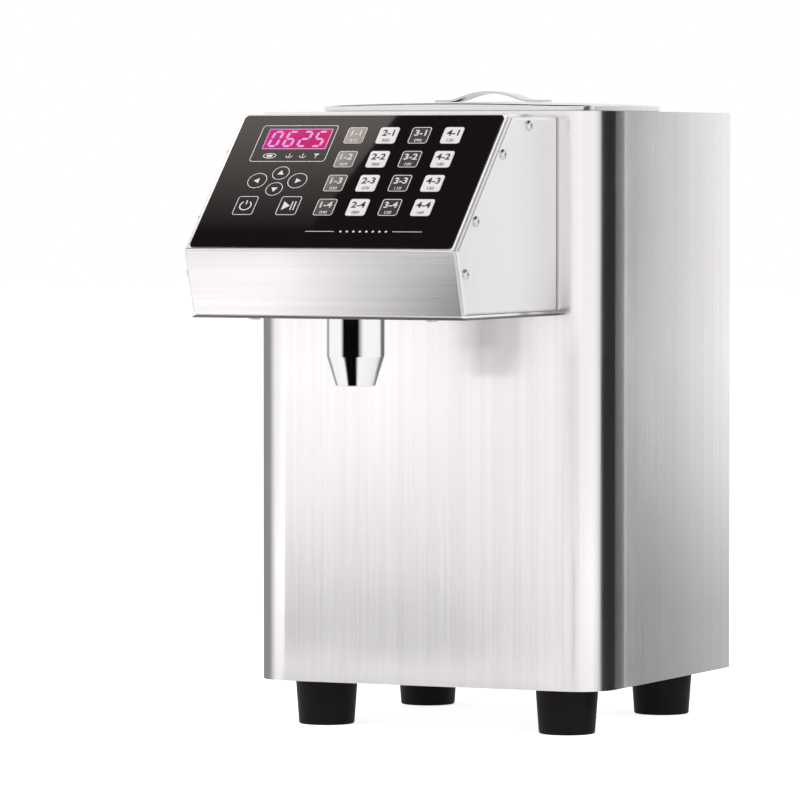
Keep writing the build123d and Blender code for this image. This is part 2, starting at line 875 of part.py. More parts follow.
with BuildPart() as tank:
    with BuildSketch(Plane.XY.offset(tank_bottom)):
        rounded_plan(tank_width, tank_depth, tank_corner)
    extrude(amount=tank_height + sheet)
    fillet(tank.faces().sort_by(Axis.Z)[0].edges(), tank_floor_radius)
    offset(amount=-sheet, openings=tank.faces().sort_by(Axis.Z)[-1])
    with BuildSketch(Plane.XY.offset(column_top)):
        rounded_plan(rim_width, rim_depth, rim_corner)
        rounded_plan(tank_width - sheet, tank_depth - sheet, tank_corner - sheet / 2, mode=Mode.SUBTRACT)
    extrude(amount=sheet)
    with BuildSketch(Plane.XY.move(Location((spout_x, pump_y, tank_bottom + sheet)))):
        Circle(barb_diameter / 2)
    extrude(amount=-sheet - spout_length)
    with BuildSketch(Plane.XY.move(Location((spout_x, pump_y, tank_bottom + sheet)))):
        Circle(spout_bore / 2)
    extrude(amount=-sheet - spout_length, mode=Mode.SUBTRACT)
save(tank, "tank")

with BuildPart() as outlet_strainer:
    with BuildSketch(Plane.XY.move(Location((spout_x, pump_y, tank_bottom + sheet)))):
        Circle(strainer_diameter / 2)
    extrude(amount=strainer_height)
    with BuildSketch(Plane.XY.move(Location((spout_x, pump_y, tank_bottom + sheet)))):
        Circle(strainer_diameter / 2 - strainer_wall)
    extrude(amount=strainer_height - strainer_wall, mode=Mode.SUBTRACT)
    with BuildSketch(Plane.XY.move(Location((spout_x, pump_y, tank_bottom + sheet + strainer_height)))):
        with HexLocations(strainer_hole, 3, 3):
            Circle(strainer_hole / 2)
    extrude(amount=-strainer_wall, mode=Mode.SUBTRACT)
save(outlet_strainer, "outlet_strainer")

with BuildPart() as heater_pad:
    with BuildSketch(Plane.XY.offset(tank_bottom)):
        with Locations((heater_shift, middle_y)):
            RectangleRounded(heater_width, heater_depth, heater_corner)
    extrude(amount=-heater_thick)
save(heater_pad, "heater_pad")

# ---------------------------------------------------------------- lid


def domed_block(width, depth, corner, bottom, below=0.0):
    """A rounded block that reaches from a height up to the lid's dome, or to a depth below it."""
    with BuildPart() as block:
        with BuildSketch(Plane.XY.offset(bottom)):
            rounded_plan(width, depth, corner)
        extrude(amount=lid_crown + lid_sheet - bottom)
        with Locations((0, middle_y, lid_crown - lid_dome_radius)):
            Sphere(lid_dome_radius - below, mode=Mode.INTERSECT)
    return block.part


def mouth_block(inset, bottom, below):
    """A domed block with the plan of the tank's mouth, moved in by inset."""
    return domed_block(tank_width - 2 * inset, tank_depth - 2 * inset, tank_corner - inset, bottom, below)


lid_block = domed_block(lid_width, lid_depth, lid_corner, lid_bottom)
lid_hollow = domed_block(
    lid_width - 2 * lid_sheet, lid_depth - 2 * lid_sheet, lid_corner - lid_sheet, lid_bottom, lid_sheet
)
ring_bottom = tank_top - lid_ring_drop
ring_inset = sheet + lid_ring_gap
ring_block = mouth_block(ring_inset, ring_bottom, lid_sheet / 2)
ring_hollow = mouth_block(ring_inset + lid_ring_wall, ring_bottom, lid_sheet)
with BuildPart() as lid:
    add(lid_block)
    fillet(lid.faces().sort_by(Axis.Z)[-1].edges(), lid_edge_radius)
    add(lid_hollow, mode=Mode.SUBTRACT)
    add(ring_block)
    add(ring_hollow, mode=Mode.SUBTRACT)
save(lid, "lid")

seal_bottom = tank_top + seal_gap
seal_block = mouth_block(ring_inset - seal_width, seal_bottom, lid_sheet)
seal_hollow = mouth_block(ring_inset, seal_bottom, lid_sheet)
with BuildPart() as lid_seal:
    add(seal_block)
    add(seal_hollow, mode=Mode.SUBTRACT)
save(lid_seal, "lid_seal")

handle_angle = 2 * atan(handle_rise / handle_half_span)
handle_crown_arc = handle_half_span / sin(handle_angle) - handle_foot_arc
handle_foot_z = lid_crown + handle_thickness / 2
handle_start = handle_half_span + handle_foot_length
handle_knee_x = handle_half_span - handle_foot_arc * sin(handle_angle)
handle_knee_z = handle_foot_z + handle_foot_arc * (1 - cos(handle_angle))
with BuildPart() as lid_handle:
    with BuildLine(Plane.XZ.offset(-middle_y)) as handle_line:
        Line((-handle_start, handle_foot_z), (-handle_half_span, handle_foot_z))
        RadiusArc((-handle_half_span, handle_foot_z), (-handle_knee_x, handle_knee_z), -handle_foot_arc)
        RadiusArc((-handle_knee_x, handle_knee_z), (handle_knee_x, handle_knee_z), handle_crown_arc)
        RadiusArc((handle_knee_x, handle_knee_z), (handle_half_span, handle_foot_z), -handle_foot_arc)
        Line((handle_half_span, handle_foot_z), (handle_start, handle_foot_z))
    with BuildSketch(Plane(origin=handle_line.line @ 0, x_dir=(0, 1, 0), z_dir=(1, 0, 0))):
        Rectangle(handle_width, handle_thickness)
    sweep(path=handle_line.line)
save(lid_handle, "lid_handle")

# ---------------------------------------------------------------- gear pump

pressure_angle = radians(20)
gear_base_radius = gear_pitch_radius * cos(pressure_angle)
gear_root_radius = gear_pitch_radius - 1.2 * gear_module
gear_front_y = pump_front_y + gear_side_gap
shaft_front_y = pump_front_y - shaft_bearing_depth + shaft_end_gap


def involute(radius):
    """Angle that a gear's flank has turned through between its base circle and a radius."""
    angle = acos(gear_base_radius / radius)
    return tan(angle) - angle


def gear_points(turn):
    """A gear's outline as points, its first tooth turned from the local x axis."""
    half_pitch_tooth = (pi * gear_module / 2 - gear_backlash) / (2 * gear_pitch_radius)
    steps = 4
    radii = [
        gear_base_radius + step * (gear_tip_radius - gear_base_radius) / steps for step in range(steps + 1)
    ]
    flank = [(radius, half_pitch_tooth + involute(gear_pitch_radius) - involute(radius)) for radius in radii]
    flank.insert(0, (gear_root_radius, flank[0][1]))
    points = []
    for tooth in range(gear_teeth):
        middle = turn + tooth * 2 * pi / gear_teeth
        points += [(radius * cos(middle - half), radius * sin(middle - half)) for radius, half in flank]
        points += [(radius * cos(middle + half), radius * sin(middle + half)) for radius, half in flank[::-1]]
    return points


def facing_front(y, z=0.0, x=0.0):
    """A plane that looks out of the machine's front, with its origin at a point."""
    return Plane(origin=(x, y, z), x_dir=(1, 0, 0), z_dir=(0, -1, 0))


gear_cavity_depth = gear_width + 2 * gear_side_gap
drive_shaft_end = pump_back_y + motor_bore_depth - shaft_end_gap
idler_shaft_end = pump_front_y + gear_cavity_depth + idler_rear_bearing - shaft_end_gap
for name, height, turn, shaft_back_y in (
    ("drive_gear", drive_z, 0.0, drive_shaft_end),
    ("idler_gear", idler_z, pi / gear_teeth, idler_shaft_end),
):
    with BuildPart() as gear:
        with BuildSketch(facing_front(gear_front_y, height)):
            with BuildLine():
                Polyline(*gear_points(turn), close=True)
            make_face()
        extrude(amount=-gear_width)
        with BuildSketch(facing_front(shaft_front_y, height)):
            Circle(shaft_diameter / 2)
        extrude(amount=shaft_front_y - shaft_back_y)
    save(gear, name)

with BuildPart() as pump_body:
    with BuildSketch(facing_front(pump_front_y, pump_height)):
        Rectangle(pump_width, pump_tall)
    extrude(amount=-pump_thick)
    fillet(pump_body.edges().filter_by(Axis.Y), pump_corner)
    with BuildSketch(Plane.YZ.offset(-pump_width / 2 - barb_length)):
        with Locations((pump_y, pump_height)):
            Circle(barb_diameter / 2)
    extrude(amount=barb_length)
    with BuildSketch(Plane.YZ.offset(pump_width / 2)):
        with Locations((pump_y, pump_height)):
            Circle(barb_diameter / 2)
    extrude(amount=barb_length)
    with BuildSketch(Plane.YZ):
        with Locations((pump_y, pump_height)):
            Circle(pump_port_bore / 2)
    extrude(amount=pump_width / 2 + barb_length, both=True, mode=Mode.SUBTRACT)
    with BuildSketch(facing_front(pump_front_y)):
        with Locations((0, drive_z), (0, idler_z)):
            Circle(gear_tip_radius + gear_tip_gap)
    extrude(amount=-gear_cavity_depth, mode=Mode.SUBTRACT)
    with BuildSketch(facing_front(pump_front_y)):
        with Locations((0, idler_z)):
            Circle(shaft_diameter / 2 + shaft_gap)
    extrude(amount=-gear_cavity_depth - idler_rear_bearing, mode=Mode.SUBTRACT)
    drill([facing_front(pump_front_y, drive_z)], shaft_diameter / 2 + shaft_gap, pump_thick)
    drill(pump_seats, screw_hole(pump_screw), pump_cover_thick + pump_thick)
save(pump_body, "pump_body")

with BuildPart() as pump_cover:
    with BuildSketch(facing_front(pump_cover_y, pump_height)):
        RectangleRounded(pump_width, pump_tall, pump_corner)
    extrude(amount=-pump_cover_thick)
    with BuildSketch(facing_front(pump_front_y)):
        with Locations((0, drive_z), (0, idler_z)):
            Circle(shaft_diameter / 2 + shaft_gap)
    extrude(amount=shaft_bearing_depth, mode=Mode.SUBTRACT)
    drill(pump_seats, screw_hole(pump_screw), pump_cover_thick)
save(pump_cover, "pump_cover")

bracket_top = pump_height + pump_tall / 2 + bracket_head_room
with BuildPart() as pump_bracket:
    with BuildSketch(facing_front(pump_back_y, (floor_top + bracket_top) / 2)):
        Rectangle(bracket_width, bracket_top - floor_top)
    extrude(amount=-bracket_thick)
    with BuildSketch(Plane.XY.offset(floor_top)):
        with Locations((0, pump_back_y + bracket_foot / 2)):
            Rectangle(bracket_width, bracket_foot)
    extrude(amount=bracket_thick)
    drill([facing_front(pump_back_y, drive_z)], motor_boss_diameter / 2 + seat_gap, bracket_thick)
    drill(pump_seats, screw_hole(pump_screw), pump_cover_thick + pump_thick + bracket_thick)
    drill(bracket_seats, screw_hole(case_screw), bracket_thick)
save(pump_bracket, "pump_bracket")

with BuildPart() as pump_motor:
    with BuildSketch(facing_front(bracket_back_y, drive_z)):
        Circle(motor_diameter / 2)
    extrude(amount=-motor_length)
    with BuildSketch(facing_front(pump_back_y, drive_z)):
        Circle(motor_boss_diameter / 2)
    extrude(amount=-bracket_thick)
    with BuildSketch(facing_front(bracket_back_y + motor_length, drive_z)):
        Circle(motor_cap_diameter / 2)
    extrude(amount=-motor_cap_length)
    drill([facing_front(pump_back_y, drive_z)], shaft_diameter / 2 + shaft_gap, motor_bore_depth)
save(pump_motor, "pump_motor")

# ---------------------------------------------------------------- hoses


def save_hose(name, points, bends):
    """A hose along straight runs joined by arcs."""
    with BuildPart() as hose:
        with BuildLine() as route:
            FilletPolyline(*points, radius=bends)
        with BuildSketch(Plane(origin=route.line @ 0, z_dir=route.line % 0)):
            Circle(hose_diameter / 2)
            Circle(hose_bore / 2, mode=Mode.SUBTRACT)
        sweep(path=route.line)
    save(hose, name)


spout_hose_z = tank_bottom - spout_length + barb_length
pump_hose_x = pump_width / 2 + hose_end_gap
hose_y = front_y + hose_front_gap
hose_side_x = side_x - hose_side_inset
nozzle_hose_z = neck_top + hose_end_gap
save_hose(
    "suction_hose",
    [
        (spout_x, pump_y, spout_hose_z),
        (spout_x, pump_y, pump_height),
        (-pump_hose_x, pump_y, pump_height),
    ],
    suction_bend,
)
save_hose(
    "delivery_hose",
    [
        (pump_hose_x, pump_y, pump_height),
        (hose_side_x, pump_y, pump_height),
        (hose_side_x, hose_y, pump_height + hose_rise_start),
        (hose_side_x, hose_y, cable_window_middle - hose_rise_end),
        (0, hose_y, cable_window_middle),
        (0, nozzle_y, cable_window_middle),
        (0, nozzle_y, nozzle_hose_z),
    ],
    hose_bends,
)

clamp_planes = [
    Plane(origin=(spout_x, pump_y, spout_hose_z - barb_length / 2), x_dir=(1, 0, 0), z_dir=(0, 0, 1)),
    Plane(origin=(-pump_hose_x - barb_length / 2, pump_y, pump_height), x_dir=(0, 1, 0), z_dir=(1, 0, 0)),
    Plane(origin=(pump_hose_x + barb_length / 2, pump_y, pump_height), x_dir=(0, 1, 0), z_dir=(1, 0, 0)),
    Plane(origin=(0, nozzle_y, nozzle_hose_z + barb_length / 2), x_dir=(1, 0, 0), z_dir=(0, 0, 1)),
]
clamp_radius = hose_diameter / 2 + barb_gap
with BuildPart() as hose_clamps:
    with BuildSketch(*clamp_planes):
        Circle(clamp_radius + clamp_thickness)
        with Locations((0, clamp_radius + clamp_screw_size / 2)):
            Rectangle(clamp_screw_length, clamp_screw_size)
        Circle(clamp_radius, mode=Mode.SUBTRACT)
    extrude(amount=clamp_width / 2, both=True)
save(hose_clamps, "hose_clamps")

# ---------------------------------------------------------------- power board, inlet and switch

with BuildPart() as power_board:
    board_face = Plane.XY.offset(power_post_top).move(Location((power_board_x, power_board_y, 0)))
    with BuildSketch(board_face):
        Rectangle(power_board_width, power_board_depth)
    extrude(amount=-board_thickness)
    with BuildSketch(board_face):
        with Locations(transformer_place):
            Rectangle(*transformer_size[:2])
    extrude(amount=transformer_size[2])
    with BuildSketch(board_face):
        with Locations(*capacitor_places):
            Circle(capacitor_diameter / 2)
    extrude(amount=capacitor_height)
    with BuildSketch(board_face):
        with Locations(terminal_place):
            Rectangle(*terminal_size[:2])
    extrude(amount=terminal_size[2])
    drill(power_seats, screw_hole(board_screw), board_thickness)
save(power_board, "power_board")

with BuildPart() as power_inlet:
    with BuildSketch(inlet_plane):
        RectangleRounded(inlet_flange_width, inlet_flange_height, inlet_corner)
    extrude(amount=inlet_flange)
    with BuildSketch(inlet_plane):
        Rectangle(inlet_body_width, inlet_body_height)
    extrude(amount=-inlet_body_depth)
    with BuildSketch(inlet_plane.offset(inlet_flange)):
        cavity = Rectangle(inlet_cavity_width, inlet_cavity_height)
        chamfer(cavity.vertices().sort_by(Axis.Y)[-2:], inlet_cavity_chamfer)
    extrude(amount=-inlet_cavity_depth, mode=Mode.SUBTRACT)
    with BuildSketch(inlet_plane.offset(inlet_flange - inlet_cavity_depth)):
        pin_shift = inlet_pin_height / 2
        with Locations((-inlet_pin_spacing, -pin_shift), (inlet_pin_spacing, -pin_shift), (0, pin_shift)):
            Rectangle(inlet_pin_width, inlet_pin_height)
    extrude(amount=inlet_pin_length)
save(power_inlet, "power_inlet")

rocker_pivot = Plane(
    origin=switch_plane.from_local_coords((0, 0, switch_flange - rocker_pivot_depth)),
    x_dir=(0, sin(radians(rocker_tilt)), cos(radians(rocker_tilt))),
    z_dir=(-1, 0, 0),
)
with BuildPart() as power_switch:
    with BuildSketch(switch_plane):
        RectangleRounded(switch_flange_width, switch_flange_height, switch_corner)
    extrude(amount=switch_flange)
    with BuildSketch(switch_plane):
        Rectangle(switch_body_width, switch_body_height)
    extrude(amount=-switch_body_depth)
    with BuildSketch(switch_plane.offset(switch_flange)):
        Rectangle(rocker_width + 2 * rocker_gap, rocker_height + 2 * rocker_gap)
    extrude(amount=-switch_cavity_depth, mode=Mode.SUBTRACT)
    with BuildSketch(rocker_pivot):
        Circle(rocker_pin_diameter / 2 + shaft_gap)
    extrude(amount=rocker_width / 2 + rocker_pin_length + shaft_gap, both=True, mode=Mode.SUBTRACT)
save(power_switch, "power_switch")

with BuildPart() as power_rocker:
    with BuildSketch(rocker_pivot):
        with BuildLine():
            half = rocker_height / 2
            Polyline(
                (-half, rocker_end),
                (0, rocker_dip),
                (half, rocker_end),
                (half, -rocker_side),
                (half / 3, -rocker_root),
                (-half / 3, -rocker_root),
                (-half, -rocker_side),
                close=True,
            )
        make_face()
    extrude(amount=rocker_width / 2, both=True)
    with BuildSketch(rocker_pivot):
        Circle(rocker_pin_diameter / 2)
    extrude(amount=rocker_width / 2 + rocker_pin_length, both=True)
save(power_rocker, "power_rocker")

# ---------------------------------------------------------------- screws

screw_sets = (
    (case_screw, cheek_seats + head_mount_seats + panel_seats + bracket_seats),
    (chin_screw, chin_seats),
    (board_screw, board_seats + power_seats),
    (pump_screw, pump_seats),
)
with BuildPart() as pan_head_screws:
    for size, seats in screw_sets:
        with Locations(*[seat.location for seat in seats]):
            add(pan_screw(size))
save(pan_head_screws, "pan_head_screws")
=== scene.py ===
"""Countertop fructose dispenser: finishes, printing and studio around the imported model.

Metres, in the model's own frame: +X is to the right of someone facing the machine, +Y runs to
its back, +Z is up.
"""

import json
from math import cos, radians, sin

import bmesh
import bpy
from mathutils import Matrix, Vector


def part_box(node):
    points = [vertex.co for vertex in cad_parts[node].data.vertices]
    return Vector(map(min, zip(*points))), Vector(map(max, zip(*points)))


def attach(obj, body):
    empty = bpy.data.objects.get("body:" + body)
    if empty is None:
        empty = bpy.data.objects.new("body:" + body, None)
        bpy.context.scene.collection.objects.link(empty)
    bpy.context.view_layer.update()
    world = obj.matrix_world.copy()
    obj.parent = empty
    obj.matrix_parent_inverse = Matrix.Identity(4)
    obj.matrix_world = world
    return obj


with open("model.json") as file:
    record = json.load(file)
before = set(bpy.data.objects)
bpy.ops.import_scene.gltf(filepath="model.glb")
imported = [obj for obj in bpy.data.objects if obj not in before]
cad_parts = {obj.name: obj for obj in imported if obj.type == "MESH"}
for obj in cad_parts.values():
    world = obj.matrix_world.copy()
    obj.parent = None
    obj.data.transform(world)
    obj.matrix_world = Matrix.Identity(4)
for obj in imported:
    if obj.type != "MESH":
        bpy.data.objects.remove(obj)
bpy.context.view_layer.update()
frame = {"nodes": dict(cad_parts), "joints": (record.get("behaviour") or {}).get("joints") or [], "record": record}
scene = bpy.context.scene
MM = 0.001

# ---------------------------------------------------------------- driving sizes and levels

# Depth within which a keypad piece's points belong to its outer face
FACE_DEPTH = 0.05 * MM

# Ink on the keypad
INK = 0.04 * MM
OUTLINE = 0.55 * MM
KEY_CORNER = 2.0 * MM
LABEL_SIZE = 8.2 * MM
LABEL_RISE = 2.5 * MM
LABEL_WEIGHT = 0.2 * MM
AMOUNT_SIZE = 4.0 * MM
AMOUNT_DROP = 4.9 * MM
AMOUNT_WEIGHT = 0.05 * MM
AMOUNT_STEP = 10  # the keys' amounts go up by this much
ARROW = 2.9 * MM
SYMBOL = 4.3 * MM
SYMBOL_LINE = 0.9 * MM

# Painted reflection: the unfilled keys turn silver this far to the left for each step up
PAINTED_REFLECTION_LEAN = 1.75

# Circuit boards: the control board's face under the keypad, a board's thickness, and the rise
# over which its lacquer gives way to the parts on it
CONTROL_BOARD_DEPTH = 8.8 * MM
BOARD_THICKNESS = 1.6 * MM
BOARD_PARTS = (0.2 * MM, 0.4 * MM)

# Display
DISPLAY_TEXT = "0625"
DIGIT_WIDTH = 6.4 * MM
DIGIT_HEIGHT = 14.4 * MM
DIGIT_PITCH = 11.6 * MM
DIGIT_BAR = 1.9 * MM
DIGIT_GAP = DIGIT_BAR / 4  # from a bar's point to where two bars would meet
DIGIT_SLANT = 0.12
WINDOW_RIM = 0.6 * MM
RIM_CORNER = 0.06 * MM  # radius inside the rim
DISPLAY_FRAME = (60.0 * MM, 36.5 * MM, 2.6 * MM)  # width, height and corner radius
DISPLAY_FRAME_SHIFT = (-1.3 * MM, -4.6 * MM)

# Signs under the display, from its middle: an oval, two dispensing cups and a funnel glass
ICON_DROP = 17.0 * MM
ICON_LINE = 0.6 * MM
OVAL_PLACE = -16.6 * MM
OVAL = (5.2 * MM, 2.6 * MM)  # half of its width and height
OVAL_LINE = 0.7 * MM
OVAL_DOT = (2.4 * MM, 1.3 * MM)
CUP_PLACES = (-1.0 * MM, 9.7 * MM)
CUP_RADIUS = 2.5 * MM
CUP_RISE = 0.6 * MM
CUP_STEM = (-1.2 * MM, 2.4 * MM)
GLASS_PLACE = 20.2 * MM
GLASS_HALF_WIDTH = 2.2 * MM
GLASS_RISE = 2.2 * MM
GLASS_DEPTH = 2.8 * MM
GLASS_STEM = (2.4 * MM, 4.6 * MM)

# Ornament under the portion keys
RULE_DROP = 49.9 * MM
RULE_WIDTH = 0.45 * MM
RULES = ((-15.7 * MM, 6.7 * MM), (52.1 * MM, 74.9 * MM))
DIAMOND_COUNT = 8
DIAMOND = 1.1 * MM

# Pins of the power inlet: middle of their space behind the flange, and half of its size
PIN_DEPTH = 8.4 * MM
PIN_SPACE = Vector((8.5, 7.4, 4.4)) * MM

# Folded hem under the head, dark as a painted shadow line
HEM_HEIGHT = 1.4 * MM
HEM_WIDTH = 6.0 * MM
HEM_SETBACK = 0.5 * MM
UNDERSIDE_DEPTH = 0.5 * MM  # the shell's points up to here belong to its underside

# Camera: a long lens, a little above the head and to its right
CAMERA_TARGET = Vector((-0.0367, 0.0, 0.2408))
CAMERA_AZIMUTH = 24.89
CAMERA_ELEVATION = 2.26
CAMERA_DISTANCE = 4.554
CAMERA_LENS = 278.3
CAMERA_SENSOR = 36.0

# Light levels, where 1 is white
SOFT_LEVEL = 0.6  # of the surroundings, as soft light
CEILING_LEVEL = 0.03  # of the high surroundings, as metal and gloss show them
CEILING_HEIGHTS = (0.45, 0.75)  # sine of the elevations between which they darken
FLOOR_COLOUR = (0.8, 0.8, 0.8)
FLOOR_GLOW = 0.72  # added for the lens
FLOOR_GLOW_IN_METAL = (0.28, 0.54)  # under the machine and far from it
FLOOR_GLOW_REACH = (1.0, 4.0)  # distances between which it grows
SECOND_MIRROR = 0.85  # share of the surroundings that metal shows by way of other metal

# Places that the cards are set from
NOZZLE_AXIS = Vector((0.0, (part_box("nozzle")[0].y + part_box("nozzle")[1].y) / 2, 0.0))
HEAD_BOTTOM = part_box("head_shell")[0].z
COLUMN_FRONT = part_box("body_shell")[0].y
COLUMN_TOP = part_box("body_shell")[1].z
COLUMN_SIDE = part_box("body_shell")[1].x
COLUMN_CORNER = 28.0 * MM  # radius of its front corners
CARD_TOP = COLUMN_TOP + 0.05
CORNER_CARD_RADIUS = 0.1
CORNER_REACH = (0.0705, 0.097)  # length of the rays off the round corners to their cards
NOZZLE_CARD_RADIUS = 0.3

# ---------------------------------------------------------------- keypad directions

PRESS = next(joint for joint in frame["joints"] if joint["name"] == "key_1_1_press")
OUT = -Vector(PRESS["axis"]).normalized()
ACROSS = Vector((1, 0, 0))
UP = OUT.cross(ACROSS)


def outer_face(node):
    """Middle of a keypad piece's outer face, and half of the face's width and height."""
    points = [vertex.co for vertex in frame["nodes"][node].data.vertices]
    top = max(point.dot(OUT) for point in points)
    face = [point for point in points if point.dot(OUT) > top - FACE_DEPTH]
    across = [point.dot(ACROSS) for point in face]
    up = [point.dot(UP) for point in face]
    middle = ACROSS * (min(across) + max(across)) / 2 + UP * (min(up) + max(up)) / 2 + OUT * top
    return middle, (max(across) - min(across)) / 2, (max(up) - min(up)) / 2


# ---------------------------------------------------------------- materials


class Graph:
    """A shader's node tree and short ways to build in it."""

    def __init__(self, tree):
        self.nodes = tree.nodes
        self.links = tree.links

    def node(self, kind, inputs=None, **settings):
        """Add a node, its inputs given as values or as other nodes' outputs."""
        made = self.nodes.new("ShaderNode" + kind)
        for setting, value in settings.items():
            setattr(made, setting, value)
        for socket, value in (inputs or {}).items():
            if isinstance(value, bpy.types.NodeSocket):
                self.links.new(value, made.inputs[socket])
            else:
                made.inputs[socket].default_value = value
        return made

    def maths(self, operation, first, second=0.0, third=0.0):
        inputs = {0: first, 1: second, 2: third}
        return self.node("Math", inputs, operation=operation).outputs[0]

    def remap(self, value, low, high, source_low=0.0, source_high=1.0, **settings):
        """Carry a value from one range to another, held at its ends."""
        inputs = {
            "Value": value,
            "From Min": source_low,
            "From Max": source_high,
            "To Min": low,
            "To Max": high,
        }
        return self.node("MapRange", inputs, **settings).outputs["Result"]

    def in_metal(self, path):
        """1 for what metal or glass shows, 0 for the lens and for soft light."""
        return self.maths("MAXIMUM", path["Is Glossy Ray"], path["Is Transmission Ray"])

    def by_mirrors(self, path):
        """1 for what metal shows directly, less for what it shows by way of other metal."""
        return self.remap(path["Glossy Depth"], 1.0, SECOND_MIRROR, 1.0, 2.0)


class Finish(Graph):
    """A node material: a Principled shader and short ways to drive its sockets."""

    def __init__(self, name, values):
        self.material = bpy.data.materials.new(name)
        self.material.use_nodes = True
        super().__init__(self.material.node_tree)
        self.shader = self.nodes["Principled BSDF"]
        for socket, value in values.items():
            self.shader.inputs[socket].default_value = value

    def place(self):
        """Position on the piece at rest, in metres."""
        return self.node("TexCoord").outputs["Object"]

    def noise(self, scale, detail=2.0, roughness=0.5, shift=(0, 0, 0)):
        """Noise from 0 to 1, with its own frequency along each axis."""
        inputs = {"Vector": self.place(), "Scale": scale, "Location": shift}
        stretched = self.node("Mapping", inputs).outputs[0]
        inputs = {"Vector": stretched, "Scale": 1.0, "Detail": detail, "Roughness": roughness}
        return self.node("TexNoise", inputs).outputs["Fac"]

    def along(self, direction, start, end):
        """A ramp from 0 at start to 1 at end, both measured along a direction."""
        inputs = {0: self.place(), 1: direction}
        distance = self.node("VectorMath", inputs, operation="DOT_PRODUCT").outputs["Value"]
        return self.remap(distance, 0.0, 1.0, start, end)

    def inside(self, low, high):
        """1 within a box, else 0."""
        inputs = {0: self.place(), 1: (low + high) / 2}
        offset = self.node("VectorMath", inputs, operation="SUBTRACT").outputs[0]
        inputs = {0: offset, 1: (high - low) / 2}
        shares = self.node("VectorMath", inputs, operation="DIVIDE").outputs[0]
        sizes = self.node("VectorMath", {0: shares}, operation="ABSOLUTE").outputs[0]
        x, y, z = self.node("SeparateXYZ", {0: sizes}).outputs
        return self.maths("LESS_THAN", self.maths("MAXIMUM", self.maths("MAXIMUM", x, y), z), 1.0)

    def colour(self, factor, first, second):
        """A colour between two, by a factor."""
        mix = self.node("Mix", {"Factor": factor}, data_type="RGBA")
        for socket, value in ((mix.inputs[6], first), (mix.inputs[7], second)):
            if isinstance(value, bpy.types.NodeSocket):
                self.links.new(value, socket)
            else:
                socket.default_value = (*value, 1.0)
        return mix.outputs[2]

    def drive(self, socket, value):
        self.links.new(value, self.shader.inputs[socket])

    def base_colour(self, factor, first, second):
        self.drive("Base Color", self.colour(factor, first, second))

    def roughness(self, factor, low, high):
        self.drive("Roughness", self.remap(factor, low, high))

    def bump(self, height, distance):
        """Raise the surface by a height from 0 to 1 times a distance."""
        relief = self.node("Bump", {"Height": height, "Distance": distance, "Strength": 1.0})
        self.drive("Normal", relief.outputs[0])


def grain_scale(grain, across, along):
    """Noise frequencies for lines that run along one axis."""
    return [along if axis == grain else across for axis in "XYZ"]


def brushed_steel(name, grain, turn, roughness, light, dark):
    """Brushed stainless sheet with its lines along one axis."""
    finish = Finish(name, {"Metallic": 1.0, "Anisotropic": 0.55, "Anisotropic Rotation": turn})
    broad = finish.noise(grain_scale(grain, 170, 0.8), detail=6.0, roughness=0.72)
    broad = finish.remap(broad, 0.0, 1.0, 0.3, 0.7)
    fine = finish.noise(grain_scale(grain, 900, 7), detail=2.0)
    cloud = finish.noise((9, 9, 9), detail=2.0, shift=(3, 1, 2))
    broad_share = 0.75
    fine_part = finish.maths("MULTIPLY", fine, 1.0 - broad_share)
    lines = finish.maths("MULTIPLY_ADD", broad, broad_share, fine_part)
    finish.base_colour(lines, dark, light)
    wear = finish.remap(cloud, -0.03, 0.03, 0.3, 0.7)
    polish_and_painted_highlight = finish.remap(fine, roughness - 0.04, roughness + 0.05)
    finish.drive("Roughness", finish.maths("ADD", wear, polish_and_painted_highlight))
    finish.bump(lines, 0.006 * MM)
    return finish.material


def satin_steel():
    """Finely blasted stainless of the head's cheeks, softer and paler than the brushed sheet, with a painted
    highlight that makes them paler towards the column.
    """
    finish = Finish("satin_steel", {"Metallic": 0.82, "Anisotropic": 0.3})
    lines = finish.noise(grain_scale("Z", 420, 2), detail=4.0)
    grit = finish.noise((2600, 2600, 2600), detail=1.0)
    # Painted highlight: the cheeks' colour grows paler towards the column, over their rear part.
    polish_and_painted_highlight = finish.along(Vector((0, 1, 0)), COLUMN_FRONT - 0.17, COLUMN_FRONT)
    cheek_grain = finish.colour(lines, (0.76, 0.76, 0.745), (0.85, 0.85, 0.835))
    finish.base_colour(polish_and_painted_highlight, cheek_grain, (0.98, 0.975, 0.965))
    finish.roughness(grit, 0.32, 0.42)
    finish.bump(grit, 0.004 * MM)
    return finish.material


def drawn_steel():
    """Deep-drawn stainless of the tank: soft, cloudy and lightly scratched."""
    finish = Finish("drawn_steel", {"Metallic": 0.8, "Anisotropic": 0.3})
    cloud = finish.noise((14, 14, 14), detail=4.0)
    scratch = finish.noise((900, 40, 900), detail=2.0)
    finish.base_colour(cloud, (0.66, 0.66, 0.655), (0.76, 0.76, 0.75))
    finish.roughness(cloud, 0.24, 0.36)
    finish.bump(scratch, 0.004 * MM)
    return finish.material


def plated_steel():
    """Bright plated screws, bolts and clamps, with faint turning marks and a cloudy tone."""
    finish = Finish("plated_steel", {"Metallic": 1.0})
    marks = finish.noise((1800, 1800, 1800), detail=3.0)
    cloud = finish.noise((160, 160, 160), detail=2.0)
    finish.base_colour(cloud, (0.60, 0.60, 0.62), (0.80, 0.80, 0.80))
    finish.roughness(marks, 0.14, 0.30)
    finish.bump(marks, 0.004 * MM)
    return finish.material


def polished_steel():
    """Hand-polished strap steel of the lid's handle."""
    finish = Finish("polished_steel", {"Metallic": 1.0})
    lines = finish.noise(grain_scale("X", 900, 12), detail=3.0)
    finish.base_colour(lines, (0.50, 0.49, 0.49), (0.72, 0.70, 0.70))
    finish.roughness(lines, 0.08, 0.18)
    finish.bump(lines, 0.003 * MM)
    return finish.material


